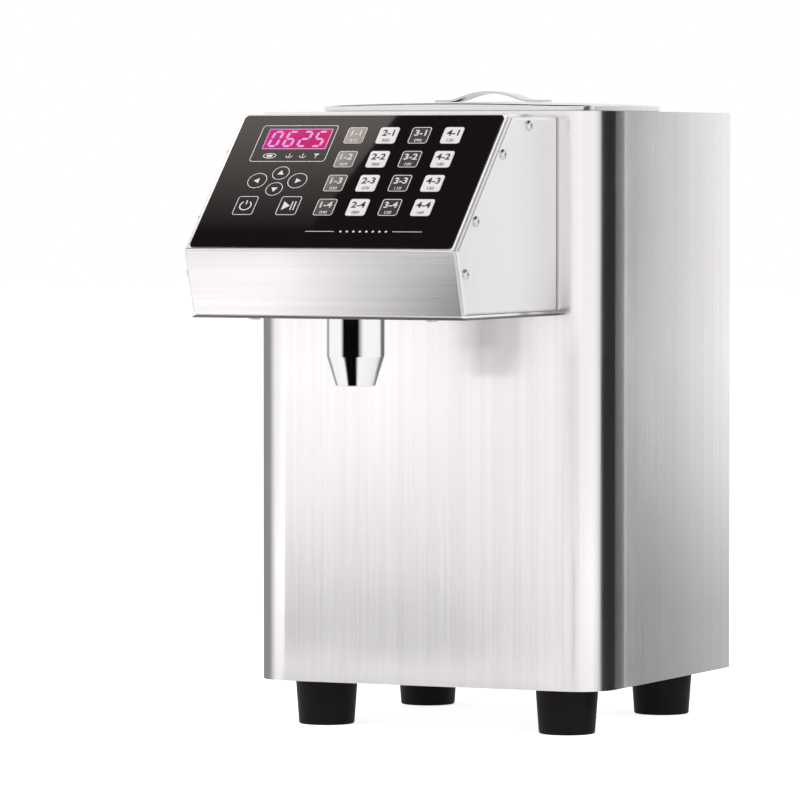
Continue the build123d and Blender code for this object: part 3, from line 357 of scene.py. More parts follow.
def chrome():
    """Polished chrome of the nozzle, with the faintest turning rings."""
    finish = Finish("polished_chrome", {"Metallic": 1.0})
    rings = finish.noise(grain_scale("Z", 3, 2200), detail=2.0)
    smear = finish.noise((60, 60, 60), detail=3.0)
    finish.base_colour(smear, (0.88, 0.88, 0.89), (0.93, 0.93, 0.93))
    finish.roughness(smear, 0.02, 0.07)
    finish.bump(rings, 0.0006 * MM)
    return finish.material


def hem_painted_shade():
    """Cut and folded edge under the head, dull and dark beside the brushed faces: painted shade for the shadow
    line under the head.
    """
    finish = Finish("hem_painted_shade", {"Metallic": 1.0})
    lines = finish.noise(grain_scale("X", 900, 20), detail=3.0)
    finish.base_colour(lines, (0.10, 0.10, 0.10), (0.26, 0.255, 0.25))
    finish.roughness(lines, 0.34, 0.5)
    finish.bump(lines, 0.004 * MM)
    return finish.material


def gear_steel():
    """Ground steel of the pump's gears and shafts."""
    finish = Finish("gear_steel", {"Metallic": 1.0, "Anisotropic": 0.4})
    rings = finish.noise(grain_scale("Y", 60, 1400), detail=2.0)
    finish.base_colour(rings, (0.50, 0.50, 0.51), (0.66, 0.66, 0.66))
    finish.roughness(rings, 0.2, 0.34)
    finish.bump(rings, 0.003 * MM)
    return finish.material


def cast_aluminium():
    """Die-cast pump body, slightly pitted."""
    finish = Finish("cast_aluminium", {"Metallic": 1.0})
    pits = finish.noise((700, 700, 700), detail=4.0, roughness=0.65)
    cloud = finish.noise((60, 60, 60), detail=2.0)
    finish.base_colour(cloud, (0.52, 0.53, 0.55), (0.66, 0.66, 0.68))
    finish.roughness(pits, 0.36, 0.56)
    finish.bump(pits, 0.03 * MM)
    return finish.material


def gloss_black():
    """Hard glossy film over the keypad, with a trace of dust in its gloss."""
    finish = Finish("gloss_black", {"Coat Weight": 0.35, "Coat Roughness": 0.01})
    dust = finish.noise((2400, 2400, 2400), detail=3.0)
    ripple = finish.noise((38, 38, 38), detail=2.0)
    finish.base_colour(dust, (0.0050, 0.0033, 0.0038), (0.0085, 0.0060, 0.0066))
    finish.roughness(dust, 0.015, 0.05)
    finish.bump(ripple, 0.006 * MM)
    return finish.material


def key_film(name, low, high):
    """Glossy film over one key, softly domed in its finish."""
    finish = Finish(name, {"Coat Weight": 0.25, "Coat Roughness": 0.05})
    grain = finish.noise((1500, 1500, 1500), detail=3.0)
    finish.base_colour(grain, low, high)
    finish.roughness(grain, 0.10, 0.22)
    finish.bump(finish.noise((120, 120, 120)), 0.012 * MM)
    return finish.material


def mirror_film():
    """Dark mirrored film over the unfilled portion keys, with a painted silver reflection that grows towards the
    keypad's upper left.
    """
    finish = Finish("mirror_film", {"Metallic": 0.93, "Coat Weight": 0.2, "Coat Roughness": 0.05})
    grain = finish.noise((1300, 1300, 1300), detail=3.0)
    # Painted reflection: the film's colour runs from dark to silver across the keypad, as a mirrored sheen would.
    lean = (UP - PAINTED_REFLECTION_LEAN * ACROSS).normalized()
    start, end = [outer_face(node)[0].dot(lean) for node in ("key_1_4", "key_1_1")]
    dark = finish.colour(grain, (0.19, 0.175, 0.175), (0.30, 0.28, 0.28))
    painted_silver_reflection = finish.colour(grain, (0.48, 0.45, 0.43), (0.72, 0.69, 0.66))
    finish.base_colour(finish.along(lean, start, end), dark, painted_silver_reflection)
    finish.roughness(grain, 0.12, 0.24)
    finish.bump(finish.noise((140, 140, 140)), 0.02 * MM)
    return finish.material


def display_glow():
    """Lit display window: magenta to the left, pinker to the right, a little uneven."""
    window, half_width, _ = outer_face("display_window")
    gloss = {"Roughness": 0.12, "Specular IOR Level": 0.2, "Emission Strength": 0.66}
    finish = Finish("display_glow", gloss)
    across = finish.along(ACROSS, window.x - half_width, window.x + half_width)
    uneven = finish.remap(finish.noise((90, 90, 90), detail=3.0), 0.0, 1.0, 0.3, 0.7)
    tint = finish.colour(across, (0.44, 0.010, 0.30), (0.66, 0.004, 0.12))
    finish.drive("Emission Color", finish.colour(uneven, tint, (0.82, 0.014, 0.20)))
    finish.base_colour(uneven, (0.10, 0.002, 0.03), (0.16, 0.004, 0.05))
    return finish.material


def digit_glow():
    """Lit bars of the display, violet at the left and pale pink to the right."""
    window, half_width, _ = outer_face("display_window")
    finish = Finish("digit_glow", {"Roughness": 0.3, "Emission Strength": 0.6})
    across = finish.along(ACROSS, window.x - half_width, window.x + half_width / 2)
    haze = finish.noise((400, 400, 400), detail=2.0)
    tint = finish.colour(across, (0.66, 0.34, 0.95), (0.95, 0.46, 0.72))
    pale = finish.remap(haze, 0.0, 0.35)
    finish.drive("Emission Color", finish.colour(pale, tint, (0.98, 0.72, 0.88)))
    finish.base_colour(haze, (0.24, 0.12, 0.26), (0.34, 0.20, 0.32))
    return finish.material


def module_red():
    """Dark red body of the display module, moulded."""
    finish = Finish("module_red", {"Roughness": 0.5})
    grain = finish.noise((900, 900, 900), detail=3.0)
    finish.base_colour(grain, (0.05, 0.006, 0.016), (0.12, 0.016, 0.04))
    finish.bump(grain, 0.01 * MM)
    return finish.material


def ink(name, low, high):
    """Screen-printed ink, faintly uneven in its cover."""
    finish = Finish(name, {"Roughness": 0.4})
    cover = finish.noise((3200, 3200, 3200), detail=2.0)
    finish.base_colour(cover, low, high)
    finish.roughness(cover, 0.32, 0.5)
    return finish.material


def rubber():
    """Matt black rubber of the feet, with fine moulded rings and a paler bloom."""
    finish = Finish("black_rubber", {"Specular IOR Level": 0.14})
    rings = finish.noise(grain_scale("Z", 4, 620), detail=1.0)
    bloom = finish.noise((90, 90, 90), detail=4.0)
    finish.base_colour(bloom, (0.0030, 0.0018, 0.0024), (0.0085, 0.0062, 0.0072))
    finish.roughness(bloom, 0.42, 0.62)
    finish.bump(rings, 0.03 * MM)
    return finish.material


def black_plastic():
    """Spark-textured black plastic of the inlet and the switch's frame, with bright inlet pins."""
    low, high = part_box("power_inlet")
    middle = (low + high) / 2
    pins = Vector((middle.x, high.y - PIN_DEPTH, middle.z))
    finish = Finish("black_plastic", {"Specular IOR Level": 0.4})
    grain = finish.noise((1900, 1900, 1900), detail=2.0)
    moulded = finish.colour(grain, (0.010, 0.010, 0.011), (0.024, 0.024, 0.026))
    metal = finish.inside(pins - PIN_SPACE, pins + PIN_SPACE)
    finish.base_colour(metal, moulded, (0.72, 0.70, 0.66))
    finish.drive("Metallic", metal)
    finish.roughness(grain, 0.4, 0.56)
    finish.bump(grain, 0.02 * MM)
    return finish.material


def rocker_plastic():
    """Glossy black rocker, slightly greasy."""
    finish = Finish("rocker_plastic", {"Coat Weight": 0.3, "Coat Roughness": 0.1})
    smear = finish.noise((220, 220, 220), detail=3.0)
    finish.base_colour(smear, (0.010, 0.010, 0.011), (0.020, 0.020, 0.022))
    finish.roughness(smear, 0.14, 0.3)
    return finish.material


def black_enamel():
    """Enamelled motor can, slightly orange-peeled."""
    finish = Finish("black_enamel", {"Coat Weight": 0.4, "Coat Roughness": 0.15})
    peel = finish.noise((420, 420, 420), detail=2.0)
    finish.base_colour(peel, (0.014, 0.014, 0.016), (0.026, 0.026, 0.030))
    finish.roughness(peel, 0.28, 0.42)
    finish.bump(peel, 0.02 * MM)
    return finish.material


def clear_silicone():
    """Milky silicone tube and seal."""
    finish = Finish("clear_silicone", {"Transmission Weight": 0.35, "IOR": 1.41})
    haze = finish.noise((240, 240, 240), detail=3.0)
    finish.base_colour(haze, (0.70, 0.72, 0.71), (0.84, 0.85, 0.84))
    finish.roughness(haze, 0.30, 0.44)
    finish.bump(haze, 0.01 * MM)
    return finish.material


def orange_silicone():
    """Silicone heater pad with its woven glass showing through."""
    finish = Finish("orange_silicone", {"Sheen Weight": 0.1})
    weft = finish.noise((2600, 240, 900), detail=1.0)
    warp = finish.noise((240, 2600, 900), detail=1.0)
    weave = finish.maths("MAXIMUM", weft, warp)
    finish.base_colour(weave, (0.52, 0.12, 0.03), (0.80, 0.27, 0.07))
    finish.roughness(weave, 0.45, 0.7)
    finish.bump(weave, 0.04 * MM)
    return finish.material


def board_green(name, normal, face_height):
    """Circuit board: green lacquer over copper tracks, dark parts where it stands proud."""
    finish = Finish(name, {"Coat Weight": 0.3, "Coat Roughness": 0.2})
    tracks = finish.remap(finish.noise((260, 260, 260), detail=1.0), 0.0, 1.0, 0.49, 0.51)
    lacquer = finish.colour(tracks, (0.010, 0.105, 0.040), (0.030, 0.200, 0.085))
    parts = finish.along(normal, *[face_height + rise for rise in BOARD_PARTS])
    grain = finish.noise((700, 700, 700), detail=2.0)
    body = finish.colour(grain, (0.020, 0.020, 0.022), (0.045, 0.045, 0.048))
    finish.base_colour(parts, lacquer, body)
    finish.roughness(grain, 0.3, 0.5)
    finish.bump(grain, 0.01 * MM)
    return finish.material


def paint(material, *nodes):
    """Give CAD nodes a finish by their own material slots."""
    for node in nodes:
        owner = frame["nodes"][node]
        for index in range(max(1, len(owner.data.materials))):
            if not owner.data.materials:
                owner.data.materials.append(material)
            owner.material_slots[index].link = "OBJECT"
            owner.material_slots[index].material = material


SMALL_KEYS = ("key_up", "key_down", "key_left", "key_right", "key_clear", "key_enter")
COLUMNS = range(1, 5)
ROWS = range(1, 5)
WHITE_COLUMNS = (2, 4)


def paint_nodes():
    """Every CAD node's finish."""
    upright = brushed_steel("column_steel", "Z", 0.0, 0.16, (0.945, 0.915, 0.92), (0.84, 0.81, 0.815))
    level = brushed_steel("head_steel", "X", 0.25, 0.18, (0.945, 0.92, 0.92), (0.82, 0.79, 0.79))
    lid_sheet = brushed_steel("lid_steel", "X", 0.25, 0.2, (0.88, 0.86, 0.86), (0.76, 0.745, 0.745))
    paint(upright, "body_shell", "back_panel", "base_plate", "top_plate")
    paint(level, "head_shell")
    paint(lid_sheet, "lid")
    paint(satin_steel(), "head_cheek_left", "head_cheek_right")
    paint(drawn_steel(), "tank", "outlet_strainer", "pump_bracket")
    paint(plated_steel(), "pan_head_screws", "foot_bolts", "hose_clamps", "nozzle_nut")
    paint(polished_steel(), "lid_handle")
    paint(chrome(), "nozzle")
    paint(gear_steel(), "drive_gear", "idler_gear")
    paint(cast_aluminium(), "pump_body", "pump_cover")
    paint(gloss_black(), "keypad_overlay")
    paint(display_glow(), "display_window")
    paint(module_red(), "display_module")
    paint(rubber(), "foot_front_left", "foot_front_right", "foot_rear_left", "foot_rear_right")
    paint(black_plastic(), "power_inlet", "power_switch")
    paint(rocker_plastic(), "power_rocker")
    paint(black_enamel(), "pump_motor")
    paint(clear_silicone(), "suction_hose", "delivery_hose", "lid_seal")
    paint(orange_silicone(), "heater_pad")
    control_face = outer_face("keypad_overlay")[0].dot(OUT) - CONTROL_BOARD_DEPTH
    paint(board_green("control_board_green", OUT, control_face), "control_board")
    power_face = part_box("power_board")[0].z + BOARD_THICKNESS
    paint(board_green("power_board_green", Vector((0, 0, 1)), power_face), "power_board")
    black = key_film("black_key", (0.008, 0.0055, 0.007), (0.014, 0.011, 0.012))
    white = key_film("white_key", (0.80, 0.77, 0.78), (0.88, 0.86, 0.87))
    mirror = mirror_film()
    for column in COLUMNS:
        for row in ROWS:
            paint(white if column in WHITE_COLUMNS else mirror, f"key_{column}_{row}")
    paint(black, *SMALL_KEYS)


# ---------------------------------------------------------------- hem under the head, dark as a painted shadow line


def add_block(shapes, low, high):
    """Add a box between two corners."""
    place = Matrix.Translation((Vector(low) + Vector(high)) / 2)
    size = Matrix.Diagonal((*(Vector(high) - Vector(low)), 1.0))
    bmesh.ops.create_cube(shapes, size=1.0, matrix=place @ size)


def make_hem_shade_strip(material):
    """The folded edge of sheet that runs round the head's underside, dark in its finish as a painted shadow line.
    """
    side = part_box("head_cheek_right")[1].x - HEM_SETBACK
    shell = [vertex.co for vertex in frame["nodes"]["head_shell"].data.vertices]
    underside = [point for point in shell if point.z < HEAD_BOTTOM + UNDERSIDE_DEPTH]
    front = min(point.y for point in underside) + HEM_SETBACK
    back = COLUMN_FRONT - HEM_SETBACK
    low, high = HEAD_BOTTOM - HEM_HEIGHT, HEAD_BOTTOM
    shapes = bmesh.new()
    add_block(shapes, (-side, front, low), (side, front + HEM_WIDTH, high))
    for edge in (-side, side - HEM_WIDTH):
        add_block(shapes, (edge, front + HEM_WIDTH, low), (edge + HEM_WIDTH, back, high))
    mesh = bpy.data.meshes.new("head_hem_shade_strip")
    shapes.to_mesh(mesh)
    shapes.free()
    mesh.materials.append(material)
    hem_shade_strip = bpy.data.objects.new("head_hem_shade_strip", mesh)
    scene.collection.objects.link(hem_shade_strip)
    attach(hem_shade_strip, "housing")


# ---------------------------------------------------------------- flat outlines


def arc(radius, start, end, centre=(0.0, 0.0), steps=16):
    """Points along an arc, its angles in degrees from the x axis."""
    turn = [radians(start + (end - start) * step / steps) for step in range(steps + 1)]
    return [(centre[0] + radius * cos(angle), centre[1] + radius * sin(angle)) for angle in turn]


def circle(radius, centre=(0.0, 0.0)):
    return arc(radius, 0, 360, centre, 48)[:-1]


def ellipse(half_width, half_height, centre):
    return [(centre[0] + half_width * x, centre[1] + half_height * y) for x, y in circle(1.0)]


def rounded_rectangle(width, height, radius, centre=(0.0, 0.0)):
    """A rectangle with round corners, counter-clockwise."""
    points = []
    for start, side, level in ((0, 1, 1), (90, -1, 1), (180, -1, -1), (270, 1, -1)):
        corner = (
            centre[0] + side * (width / 2 - radius),
            centre[1] + level * (height / 2 - radius),
        )
        points += arc(radius, start, start + 90, corner, 6)
    return points


def triangle(size, turn):
    """An arrowhead about the origin, pointing up at turn 0 and further left as turn grows."""
    return arc(size, 90 + turn, 330 + turn, steps=2)


class Print:
    """Ink on one plane of the keypad, drawn flat and raised to the ink's thickness.

    Shapes are in metres from the origin, x across the keypad and y up its slope.
    """

    def __init__(self, origin):
        self.origin = origin
        self.shapes = bmesh.new()

    def fill(self, points):
        self.shapes.faces.new([self.shapes.verts.new((x, y, 0)) for x, y in points])

    def band(self, outer, inner):
        """Fill between two closed outlines with as many points each."""
        rings = [[self.shapes.verts.new((x, y, 0)) for x, y in line] for line in (outer, inner)]
        for index in range(len(outer)):
            corners = (rings[0][index - 1], rings[0][index], rings[1][index], rings[1][index - 1])
            self.shapes.faces.new(corners)

    def frame(self, width, height, corner, centre=(0.0, 0.0)):
        """The outline of a rectangle with round corners."""
        outer = rounded_rectangle(width, height, corner, centre)
        inset = 2 * OUTLINE
        inner = rounded_rectangle(width - inset, height - inset, corner - OUTLINE, centre)
        self.band(outer, inner)

    def stroke(self, points, width):
        """An open line of even width, mitred at its corners."""
        sides = []
        for index, point in enumerate(points):
            before = Vector(points[max(index - 1, 0)])
            after = Vector(points[min(index + 1, len(points) - 1)])
            normal = (after - before).normalized().orthogonal() * width / 2
            sides.append((Vector(point) + normal, Vector(point) - normal))
        for (left, right), (next_left, next_right) in zip(sides, sides[1:]):
            self.fill([tuple(left), tuple(right), tuple(next_right), tuple(next_left)])

    def words(self, text, size, x, y, weight=0.0):
        """Figures in the built-in typeface, with their middle at a point."""
        curve = bpy.data.curves.new("words", "FONT")
        curve.body = text
        curve.size = size
        curve.offset = weight
        curve.resolution_u = 3
        carrier = bpy.data.objects.new("words", curve)
        mesh = bpy.data.meshes.new_from_object(carrier)
        places = [vertex.co for vertex in mesh.vertices]
        middle_x = (min(place.x for place in places) + max(place.x for place in places)) / 2
        middle_y = (min(place.y for place in places) + max(place.y for place in places)) / 2
        mesh.transform(Matrix.Translation((x - middle_x, y - middle_y, 0)))
        self.shapes.from_mesh(mesh)
        bpy.data.objects.remove(carrier)
        bpy.data.curves.remove(curve)
        bpy.data.meshes.remove(mesh)

    def finish(self, name, body, material, slot):
        """Raise the ink, set it on its plane and let it ride on a body."""
        self.shapes.normal_update()
        for face in self.shapes.faces:
            if face.normal.z < 0:
                face.normal_flip()
        mesh = bpy.data.meshes.new(name)
        self.shapes.to_mesh(mesh)
        self.shapes.free()
        mesh.materials.append(material)
        axes = Matrix((ACROSS, UP, OUT)).transposed().to_4x4()
        mesh.transform(Matrix.Translation(self.origin) @ axes)
        piece = bpy.data.objects.new(name, mesh)
        scene.collection.objects.link(piece)
        raised = piece.modifiers.new("ink", "SOLIDIFY")
        raised.thickness = INK
        raised.offset = 1.0
        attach(piece, body)
        return piece


# ---------------------------------------------------------------- printing on the keypad


def print_portion_keys(white, dark):
    """Each portion key's outline, its column and row, and a plain amount."""
    for column in COLUMNS:
        for row in ROWS:
            node = f"key_{column}_{row}"
            middle, half_width, half_height = outer_face(node)
            sheet = Print(middle)
            filled = column in WHITE_COLUMNS
            if not filled:
                sheet.frame(2 * half_width, 2 * half_height, KEY_CORNER)
            amount = AMOUNT_STEP * (len(ROWS) * (column - 1) + row)
            sheet.words(f"{column}-{row}", LABEL_SIZE, 0, LABEL_RISE, LABEL_WEIGHT)
            sheet.words(f"{amount:03d}", AMOUNT_SIZE, 0, -AMOUNT_DROP, AMOUNT_WEIGHT)
            sheet.finish(f"{node}_print", node, dark if filled else white, slot_of(node))


def slot_of(node):
    """The record's material slot of a CAD node."""
    return next(part["material_slot"] for part in frame["record"]["subparts"] if part["node"] == node)


def print_round_keys(white):
    """Rings and arrowheads of the four round keys."""
    for node, turn in (("key_up", 0), ("key_left", 90), ("key_down", 180), ("key_right", 270)):
        middle, radius, _ = outer_face(node)
        sheet = Print(middle)
        sheet.band(circle(radius), circle(radius - OUTLINE))
        sheet.fill(triangle(ARROW, turn))
        sheet.finish(f"{node}_print", node, white, slot_of(node))


def print_square_keys(white):
    """Outlines of the two square keys, one with a standby sign, one with a play and pause sign."""
    for node in ("key_clear", "key_enter"):
        middle, half_width, half_height = outer_face(node)
        sheet = Print(middle)
        sheet.frame(2 * half_width, 2 * half_height, KEY_CORNER)
        if node == "key_clear":
            sheet.stroke(arc(SYMBOL, 125, 415, steps=32), SYMBOL_LINE)
            sheet.stroke([(0, 0.3 * SYMBOL), (0, 1.2 * SYMBOL)], SYMBOL_LINE)
        else:
            back, tip = -1.1 * SYMBOL, 0.2 * SYMBOL
            sheet.fill([(back, -SYMBOL), (tip, 0), (back, SYMBOL)])
            for x in (0.5 * SYMBOL, 1.05 * SYMBOL):
                sheet.stroke([(x, -SYMBOL), (x, SYMBOL)], SYMBOL_LINE)
        sheet.finish(f"{node}_print", node, white, slot_of(node))


SEGMENT_ENDS = {
    "a": ((0, 1), (1, 1)),
    "b": ((1, 0.5), (1, 1)),
    "c": ((1, 0), (1, 0.5)),
    "d": ((0, 0), (1, 0)),
    "e": ((0, 0), (0, 0.5)),
    "f": ((0, 0.5), (0, 1)),
    "g": ((0, 0.5), (1, 0.5)),
}
LIT_SEGMENTS = {"0": "abcdef", "6": "acdefg", "2": "abdeg", "5": "acdfg"}


def segment(ends):
    """One bar of a seven-segment figure, pointed at both ends and slanted."""
    (x0, y0), (x1, y1) = [(x * DIGIT_WIDTH, y * DIGIT_HEIGHT) for x, y in ends]
    run = Vector((x1 - x0, y1 - y0)).normalized()
    side = Vector((-run.y, run.x)) * DIGIT_BAR / 2
    start = Vector((x0, y0)) + run * DIGIT_GAP
    end = Vector((x1, y1)) - run * DIGIT_GAP
    tip = run * DIGIT_BAR / 2
    outline = [start, start + tip - side, end - tip - side, end, end - tip + side, start + tip + side]
    return [(point.x + DIGIT_SLANT * point.y, point.y) for point in outline]


def print_figures(lit):
    """Figures in the display and the lit rim round them."""
    middle, half_width, half_height = outer_face("display_window")
    figures = Print(middle)
    slant = DIGIT_SLANT * DIGIT_HEIGHT
    left = -((len(DISPLAY_TEXT) - 1) * DIGIT_PITCH + DIGIT_WIDTH + slant) / 2
    for place, figure in enumerate(DISPLAY_TEXT):
        for bar in LIT_SEGMENTS[figure]:
            outline = segment(SEGMENT_ENDS[bar])
            shift = left + place * DIGIT_PITCH
            figures.fill([(x + shift, y - DIGIT_HEIGHT / 2) for x, y in outline])
    rim = rounded_rectangle(2 * half_width, 2 * half_height, WINDOW_RIM)
    hole_width, hole_height = 2 * (half_width - WINDOW_RIM), 2 * (half_height - WINDOW_RIM)
    hole = rounded_rectangle(hole_width, hole_height, RIM_CORNER)
    figures.band(rim, hole)
    figures.finish("display_figures", "housing", lit, "display_red")


def print_signs(sheet):
    """The small signs below the display."""
    oval = (OVAL_PLACE, -ICON_DROP)
    sheet.band(ellipse(*OVAL, oval), ellipse(OVAL[0] - OVAL_LINE, OVAL[1] - OVAL_LINE, oval))
    sheet.fill(ellipse(*OVAL_DOT, oval))
    for x in CUP_PLACES:
        sheet.stroke(arc(CUP_RADIUS, 190, 350, (x, -ICON_DROP + CUP_RISE)), ICON_LINE)
        sheet.stroke([(x, -ICON_DROP + end) for end in CUP_STEM], ICON_LINE)
    top = -ICON_DROP + GLASS_RISE
    left, right = GLASS_PLACE - GLASS_HALF_WIDTH, GLASS_PLACE + GLASS_HALF_WIDTH
    sheet.fill([(left, top), (GLASS_PLACE, top - GLASS_DEPTH), (right, top)])
    sheet.stroke([(GLASS_PLACE, top - end) for end in GLASS_STEM], ICON_LINE)


def print_display_frame(white):
    """The printed frame round the display and the signs below it."""
    middle = outer_face("display_window")[0]
    film = outer_face("keypad_overlay")[0].dot(OUT)
    sheet = Print(middle + OUT * (film - middle.dot(OUT)))
    sheet.frame(*DISPLAY_FRAME, DISPLAY_FRAME_SHIFT)
    print_signs(sheet)
    sheet.finish("display_frame_print", "housing", white, "black_panel")


def print_rules(white):
    """Two thin rules with a row of plain diamonds between them."""
    sheet = Print(outer_face("keypad_overlay")[0])
    for start, end in RULES:
        sheet.stroke([(start, -RULE_DROP), (end, -RULE_DROP)], RULE_WIDTH)
    gap_start, gap_end = RULES[0][1], RULES[1][0]
    pitch = (gap_end - gap_start) / (DIAMOND_COUNT + 1)
    for index in range(DIAMOND_COUNT):
        middle = (gap_start + (index + 1) * pitch, -RULE_DROP)
        sheet.fill(arc(DIAMOND, 0, 270, middle, steps=3))
    sheet.finish("rule_print", "housing", white, "black_panel")


# ---------------------------------------------------------------- studio


def panels(name, quads, material):
    """Flat stage panels with four corners each."""
    corners = [tuple(corner) for quad in quads for corner in quad]
    faces = [tuple(range(first, first + 4)) for first in range(0, len(corners), 4)]
    mesh = bpy.data.meshes.new(name)
    mesh.from_pydata(corners, [], faces)
    mesh.materials.append(material)
    panel = bpy.data.objects.new(name, mesh)
    scene.collection.objects.link(panel)
    return panel


def make_floor():
    """Pale floor that keeps a soft shadow and is white to the lens and in metal."""
    finish = Finish("floor", {"Roughness": 0.9, "Specular IOR Level": 0.0})
    finish.shader.inputs["Base Color"].default_value = (*FLOOR_COLOUR, 1.0)
    finish.shader.inputs["Emission Color"].default_value = (1.0, 1.0, 1.0, 1.0)
    path = finish.node("LightPath").outputs
    distance = finish.node("VectorMath", {0: finish.place()}, operation="LENGTH").outputs["Value"]
    glow = finish.remap(distance, *FLOOR_GLOW_IN_METAL, *FLOOR_GLOW_REACH)
    shown = finish.maths("MULTIPLY", finish.in_metal(path), finish.by_mirrors(path))
    in_metal = finish.maths("MULTIPLY", shown, glow)
    in_lens = finish.maths("MULTIPLY", path["Is Camera Ray"], FLOOR_GLOW)
    finish.drive("Emission Strength", finish.maths("MAXIMUM", in_lens, in_metal))
    reach = 14.0
    corners = [(x * reach, y * reach, 0) for x, y in ((-1, -1), (1, -1), (1, 1), (-1, 1))]
    panels("floor", [corners], finish.material)


def card_material(name, shade, most, ramps, reach, second):
    """A card's material: how far it covers is its most times each ramp (direction, start, end).

    Only a surface whose distance lies within the reach mirrors the card, and a second card is
    mirrored only by way of another surface.
    """
    finish = Finish(name, {})
    cover = finish.node("Value").outputs[0]
    cover.default_value = most
    for direction, start, end in ramps:
        cover = finish.maths("MULTIPLY", cover, finish.along(Vector(direction), start, end))
    if reach:
        distance = finish.node("LightPath").outputs["Ray Length"]
        for comparison, limit in zip(("GREATER_THAN", "LESS_THAN"), reach):
            cover = finish.maths("MULTIPLY", cover, finish.maths(comparison, distance, limit))
    if second:
        mirrors = finish.node("LightPath").outputs["Glossy Depth"]
        cover = finish.maths("MULTIPLY", cover, finish.maths("GREATER_THAN", mirrors, 1.5))
    clear = finish.node("BsdfTransparent")
    glow = finish.node("Emission", {"Color": (*shade, 1.0), "Strength": 1.0})
    mix = finish.node("MixShader", {0: cover, 1: clear.outputs[0], 2: glow.outputs[0]})
    finish.links.new(mix.outputs[0], finish.nodes["Material Output"].inputs["Surface"])
    return finish.material


def reflection_card(name, quads, shade, most=1.0, ramps=(), reach=None, second=False):
    """A panel that only reflections see, dark or bright by its shade."""
    card = panels(name, quads, card_material(name, shade, most, ramps, reach, second))
    card.visible_camera = False
    card.visible_diffuse = False
    card.visible_shadow = False
    card.visible_transmission = False
    card.visible_volume_scatter = False
    return card


def grey(level):
    return (level, level, level)


def wall(start, end, low, high):
    """Corners of an upright panel between two points of the plan."""
    return [(*start, low), (*end, low), (*end, high), (*start, high)]


def level_panel(corners, height):
    """Corners of a level panel from its plan."""
    return [(x, y, height) for x, y in corners]


def bearing(azimuth):
    """Level direction at an azimuth, 0 to the front and 90 to the right."""
    return Vector((sin(radians(azimuth)), -cos(radians(azimuth)), 0))


def round_wall(axis, radius, start, end, low, high, steps=12):
    """Upright panels along an arc about an upright axis."""
    turn = [start + (end - start) * step / steps for step in range(steps + 1)]
    places = [(axis + bearing(azimuth) * radius).to_2d() for azimuth in turn]
    return [wall(*pair, low, high) for pair in zip(places, places[1:])]


# Directions that the cards fade along, the lens's own as the column's front mirrors it, and the
# most common shade
RIGHTWARD = (1, 0, 0)
LEFTWARD = (-1, 0, 0)
BACKWARD = (0, 1, 0)
DOWNWARD = (0, 0, -1)
MIRRORED_LENS = bearing(-25)
SHADE = grey(0.1)


def corner_wall(axis, start, end, top=CARD_TOP):
    """Panels round one of the column's front corners, between two azimuths."""
    return round_wall(axis, CORNER_CARD_RADIUS, start, end, 0.0, top)


def make_right_corner_cards():
    """What the column's right front corner mirrors: a dark stripe with soft edges, and a pale one."""
    axis = Vector((COLUMN_SIDE - COLUMN_CORNER, COLUMN_FRONT + COLUMN_CORNER, 0))
    soft_start, dark_start, dark_end, soft_end = 60, 80.5, 143.8, 154
    stripe = corner_wall(axis, dark_start, dark_end)
    reflection_card("corner_card", stripe, grey(0.025), reach=CORNER_REACH)
    before = corner_wall(axis, soft_start, dark_start)
    fade = (BACKWARD, -0.061, -0.0275)
    reflection_card("corner_start_card", before, grey(0.2), 0.4, [fade], CORNER_REACH)
    after = corner_wall(axis, dark_end, soft_end)
    fade = (RIGHTWARD, 0.1545, 0.172)
    reflection_card("corner_end_card", after, grey(0.2), 0.62, [fade], (0.0, CORNER_REACH[1]))
    pale_start, pale_end = -24, 32
    pale = corner_wall(axis, pale_start, pale_end, HEAD_BOTTOM)
    fades = [(RIGHTWARD, 0.0713, 0.108), (LEFTWARD, -0.165, -0.141), (DOWNWARD, -0.307, -0.27)]
    reflection_card("corner_pale_card", pale, grey(0.5), 0.3, fades, CORNER_REACH)


def make_left_corner_card():
    """What the column's left front corner mirrors: one grey stripe that fades towards the top."""
    axis = Vector((COLUMN_CORNER - COLUMN_SIDE, COLUMN_FRONT + COLUMN_CORNER, 0))
    start, end = -48, -155
    fades = [(BACKWARD, axis.y - 0.067, axis.y - 0.03), (DOWNWARD, -0.45, -0.36)]
    reflection_card("left_card", corner_wall(axis, start, end), grey(0.28), 1.0, fades, CORNER_REACH)


def make_side_cards():
    """What the column's right side mirrors: shade towards its front, and more towards its foot."""
    near, far, back = 0.15, 0.275, 0.3
    reach = (0.0, 0.34)
    side = wall((near, back), (far, back), 0.0, CARD_TOP)
    reflection_card("side_card", [side], SHADE, 0.76, [(RIGHTWARD, 0.176, 0.272)], reach)
    far, back = 0.277, 0.305
    foot = wall((near, back), (far, back), 0.0, CARD_TOP)
    reflection_card("side_foot_card", [foot], SHADE, 0.42, [(DOWNWARD, -0.27, -0.07)], reach)


def front_strip(near, far, height):
    """A level strip ahead of the column, along the lens's direction as its front mirrors it.

    Each end is its left x, its right x and its distance.
    """
    ends = [(near[0], near[2]), (near[1], near[2]), (far[1], far[2]), (far[0], far[2])]
    plan = [Vector((x, 0, 0)) + MIRRORED_LENS * distance for x, distance in ends]
    return level_panel([place.to_2d() for place in plan], height)


